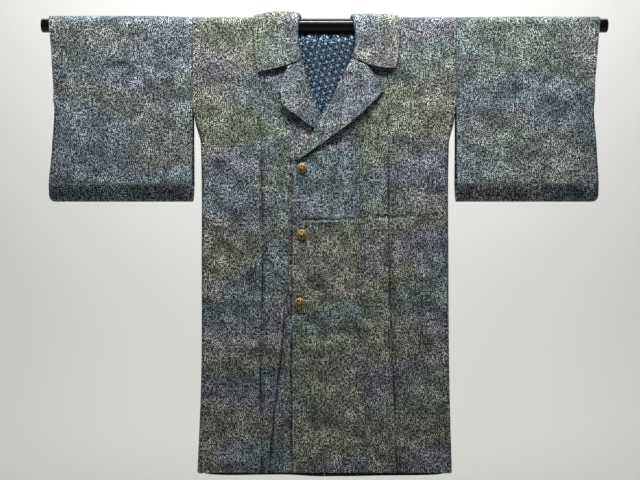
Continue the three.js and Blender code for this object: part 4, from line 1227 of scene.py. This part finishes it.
def stitch_tree():
    """Stitches laid along a path that carries the cloth's outward direction."""
    tree = bpy.data.node_groups.new("Row of stitches", "GeometryNodeTree")
    for label, kind in (("Path", "Geometry"), ("Spacing", "Float"), ("Length", "Float"), ("Width", "Float"),
                        ("Turn", "Float"), ("Uneven", "Float"), ("Thread", "Material")):
        tree.interface.new_socket(label, in_out="INPUT", socket_type="NodeSocket" + kind)
    tree.interface.new_socket("Stitches", in_out="OUTPUT", socket_type="NodeSocketGeometry")
    g = Nodes(tree)

    def made(kind, settings=None, **inputs):
        """The first output of a new node."""
        return g.add(kind, settings, **inputs).outputs[0]

    given = g.add("NodeGroupInput").outputs
    curve = made("GeometryNodeMeshToCurve", Mesh=given["Path"])
    points = made("GeometryNodeResampleCurve", {"mode": "LENGTH"}, Curve=curve, Length=given["Spacing"])
    bead = made("GeometryNodeMeshUVSphere", Segments=6, Rings=5, Radius=0.5)
    size = made("ShaderNodeCombineXYZ", X=given["Length"], Y=given["Width"], Z=given["Width"])
    stitch = made("GeometryNodeTransform", Geometry=bead, Scale=size)
    along = made("FunctionNodeAlignRotationToVector", {"axis": "X"}, Vector=made("GeometryNodeInputTangent"))
    outward = g.add("GeometryNodeInputNamedAttribute", {"data_type": "FLOAT_VECTOR"}, Name="outward")
    upright = made("FunctionNodeAlignRotationToVector", {"axis": "Z", "pivot_axis": "X"}, Rotation=along,
                   Vector=outward.outputs["Attribute"])
    turn = made("FunctionNodeEulerToRotation", Euler=made("ShaderNodeCombineXYZ", Z=given["Turn"]))
    turned = made("FunctionNodeRotateRotation", {"rotation_space": "LOCAL"}, Rotation=upright, Rotate_By=turn)
    random = g.add("FunctionNodeRandomValue", {"data_type": "FLOAT"}, Seed=STITCH_SEED)
    for label, operation in (("Min", "SUBTRACT"), ("Max", "ADD")):
        socket = next(i for i in random.inputs if i.name == label and i.type == "VALUE")
        tree.links.new(g.math(operation, 1.0, given["Uneven"]), socket)
    grown = next(o for o in random.outputs if o.enabled)
    laid = made("GeometryNodeInstanceOnPoints", Points=points, Instance=stitch, Rotation=turned, Scale=grown)
    real = made("GeometryNodeRealizeInstances", Geometry=laid)
    painted = made("GeometryNodeSetMaterial", Geometry=real, Material=given["Thread"])
    tree.links.new(painted, g.add("NodeGroupOutput").inputs[0])
    return tree


STITCH_TREE = stitch_tree()


def stitches(name, paths, spacing, length, width, thread, turn, uneven):
    """One object of stitches along paths, which are (points, outward) pairs in millimetres."""
    verts, edges, outs = [], [], []
    for points, outward in paths:
        start = len(verts)
        verts += [tuple(p) for p in np.asarray(points, float) / 1000]
        outs += [tuple(o) for o in np.broadcast_to(outward, np.shape(points))]
        edges += [(start + k, start + k + 1) for k in range(len(points) - 1)]
    mesh = bpy.data.meshes.new(name)
    mesh.from_pydata(verts, edges, [])
    layer = mesh.attributes.new("outward", "FLOAT_VECTOR", "POINT")
    layer.data.foreach_set("vector", np.array(outs, float).ravel())
    piece = in_scene(name, mesh)
    modifier = piece.modifiers.new("Stitches", "NODES")
    modifier.node_group = STITCH_TREE
    values = {"Spacing": spacing / 1000, "Length": length / 1000, "Width": width / 1000, "Turn": turn,
              "Uneven": uneven, "Thread": thread}
    for item in STITCH_TREE.interface.items_tree:
        if item.in_out == "INPUT" and item.name in values:
            modifier[item.identifier] = values[item.name]
    apply_modifiers(piece)
    piece.data.polygons.foreach_set("use_smooth", [True] * len(piece.data.polygons))
    return piece


def buttonhole_paths():
    """The rim of each buttonhole, on the face of the upper front."""
    paths = []
    for spot in BUTTONS:
        middle, x, z = slit_rim(spot, np.linspace(0, 2 * math.pi, 61), grow=0.7)
        x[15] = x[45] = middle
        paths.append((place(x, front_s(z), upper_lift(x, z) + 0.1), (0, -1, 0)))
    return paths


def hem_paths():
    """Lines of slip stitches that fasten the lining above the hem and beside the front edges."""
    paths = []

    def line(x, z, lift=0.0, back=False):
        x, z = np.broadcast_arrays(x, z)
        s = QUARTER - z if back else front_s(z)
        depth = (lift(x, z) if lift else 0.0) - CLOTH - 0.1
        paths.append((place(x, s, depth), (0, -1 if back else 1, 0)))

    level = HEM_Z + LINING_HEM
    for side in (-1, 1):
        line(side * spaced(108, 296, 6), level)
        line(side * spaced(4, 298, 6), level, back=True)
    for side, lift in ((1, upper_lift), (-1, under_lift)):
        line(side * (FRONT_EDGE_X + FACING_WIDTH), spaced(level, SLIP_STITCH_TOP_Z, 8), lift)
        line(side * spaced(-16, 98, 6), level, lift)
    return paths


# ---- Camera, light and stage ----


def camera():
    """Level, straight at the coat's front. The view is width wide at the pole's plane."""
    distance, width = 2.57, 1.555
    data = bpy.data.cameras.new("Camera")
    data.sensor_fit = "HORIZONTAL"
    data.sensor_width = 36
    data.lens = 36 * distance / width
    obj = in_scene("Camera", data)
    obj.location = (-0.011, -distance, -0.521)
    obj.rotation_euler = (math.radians(90), 0, 0)
    bpy.context.scene.camera = obj


def plain(name, colour):
    """A matt colour on the faces' front, clear from behind, so the stage never hides the coat."""
    f = Finish(name)
    mix = f.add("ShaderNodeMixShader", Fac=f.add("ShaderNodeNewGeometry").outputs["Backfacing"])
    f.feed(mix, 1, f.surface.outputs["BSDF"])
    f.feed(mix, 2, f.add("ShaderNodeBsdfTransparent").outputs["BSDF"])
    f.feed(f.output, "Surface", mix.outputs["Shader"])
    return f.set(Base_Color=colour, Roughness=0.9)


def stage_plane(name, corners, colour):
    mesh = bpy.data.meshes.new(name)
    mesh.from_pydata(corners, [], [(0, 1, 2, 3)])
    mesh.materials.append(plain(name, colour))
    in_scene(name, mesh)


def area_light(name, spot, aim, size, power, colour=(1, 1, 1)):
    data = bpy.data.lights.new(name, "AREA")
    data.shape = "RECTANGLE"
    data.size, data.size_y = size
    data.energy = power
    data.color = colour
    obj = in_scene(name, data)
    obj.location = spot
    obj.rotation_euler = (Vector(aim) - Vector(spot)).to_track_quat("-Z", "Y").to_euler()


camera()
HALF, WALL_Y, FLOOR_Z, WALL_TOP_Z = 5, 1.2, -1.45, 3.5
wall_foot = [(-HALF, WALL_Y, FLOOR_Z), (HALF, WALL_Y, FLOOR_Z)]
stage_plane("floor", [(-HALF, -HALF, FLOOR_Z), (HALF, -HALF, FLOOR_Z), *wall_foot[::-1]],
            (0.52, 0.52, 0.5, 1))
stage_plane("backdrop", [*wall_foot, (HALF, WALL_Y, WALL_TOP_Z), (-HALF, WALL_Y, WALL_TOP_Z)],
            (0.86, 0.86, 0.84, 1))
area_light("Ceiling light", (0.03, -0.70, 1.02), (0.03, 0.35, 0.15), (1.3, 0.2), 43)
area_light("Front fill", (0.4, -2.5, 1.5), (0, 0, -0.1), (1.6, 0.8), 4.2)
area_light("Wall light", (0.0, 0.6, 1.7), (0, 1.2, 0.2), (3.0, 0.4), 28)
area_light("Low wall light", (0.0, 0.75, -1.3), (0, 1.2, -0.9), (3.0, 0.3), 2.2, (1, 0.97, 0.9))
world = bpy.data.worlds.new("Soft room")
world.use_nodes = True
backdrop_light = world.node_tree.nodes["Background"].inputs
backdrop_light["Color"].default_value = (0.93, 0.95, 1.0, 1)
backdrop_light["Strength"].default_value = 0.07
bpy.context.scene.world = world
bpy.context.scene.view_settings.view_transform = "Standard"

# ---- The coat ----


def dress(piece, slot, *nodes):
    """Hands a piece its place on the body and hides the solids it stands for. slot, which names its finish,
    is not used.
    """
    if nodes:
        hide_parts(*nodes)
    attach(piece, "root")
    return piece


pole = dress(pole_piece(), "pole", "pole")
left_body = dress(body_panel("left_body_cloth", 1, (2100, 300)), "cloth", "body_left")
right_body = dress(body_panel("right_body_cloth", -1, (3900, 1250)), "cloth", "body_right")
left_front = dress(
    overlap_panel("left_front_cloth", 1, UPPER_LAPEL, upper_lift, FRONT_EDGE_X, (5200, 780)),
    "cloth", "overlap_left")
cut_buttonholes(left_front)
right_front = dress(
    overlap_panel("right_front_cloth", -1, UNDER_LAPEL, under_lift, -FRONT_EDGE_X, (6400, 60)),
    "cloth", "overlap_right")
left_sleeve = dress(sleeve_piece("left_sleeve_cloth", 1, (7300, 2200)), "cloth", "sleeve_left")
right_sleeve = dress(sleeve_piece("right_sleeve_cloth", -1, (9600, 3300)), "cloth", "sleeve_right")
collar = dress(collar_piece(), "cloth", "collar")
left_lapel = dress(lapel_piece("left_lapel_cloth", UPPER_LAPEL, upper_lift, (10400, 900)),
                   "cloth", "lapel_left")
right_lapel = dress(lapel_piece("right_lapel_cloth", UNDER_LAPEL, under_lift, (11200, 500)),
                    "cloth", "lapel_right")
neck_lining = dress(lining_piece(), "lining", "lining_back")
for number, spot in enumerate(BUTTONS, 1):
    dress(button_piece(f"cast_button_{number}", spot), "button", f"button_{number}")
hole_stitches = dress(
    stitches("buttonhole_stitches", buttonhole_paths(), 0.75, 2.6, 0.55, DARK_THREAD, math.pi / 2, 0.06),
    "cloth")
slip_stitches = dress(
    stitches("lining_slip_stitches", hem_paths(), 7.5, 1.6, 0.5, NAVY_THREAD, 0.0, 0.2), "lining")
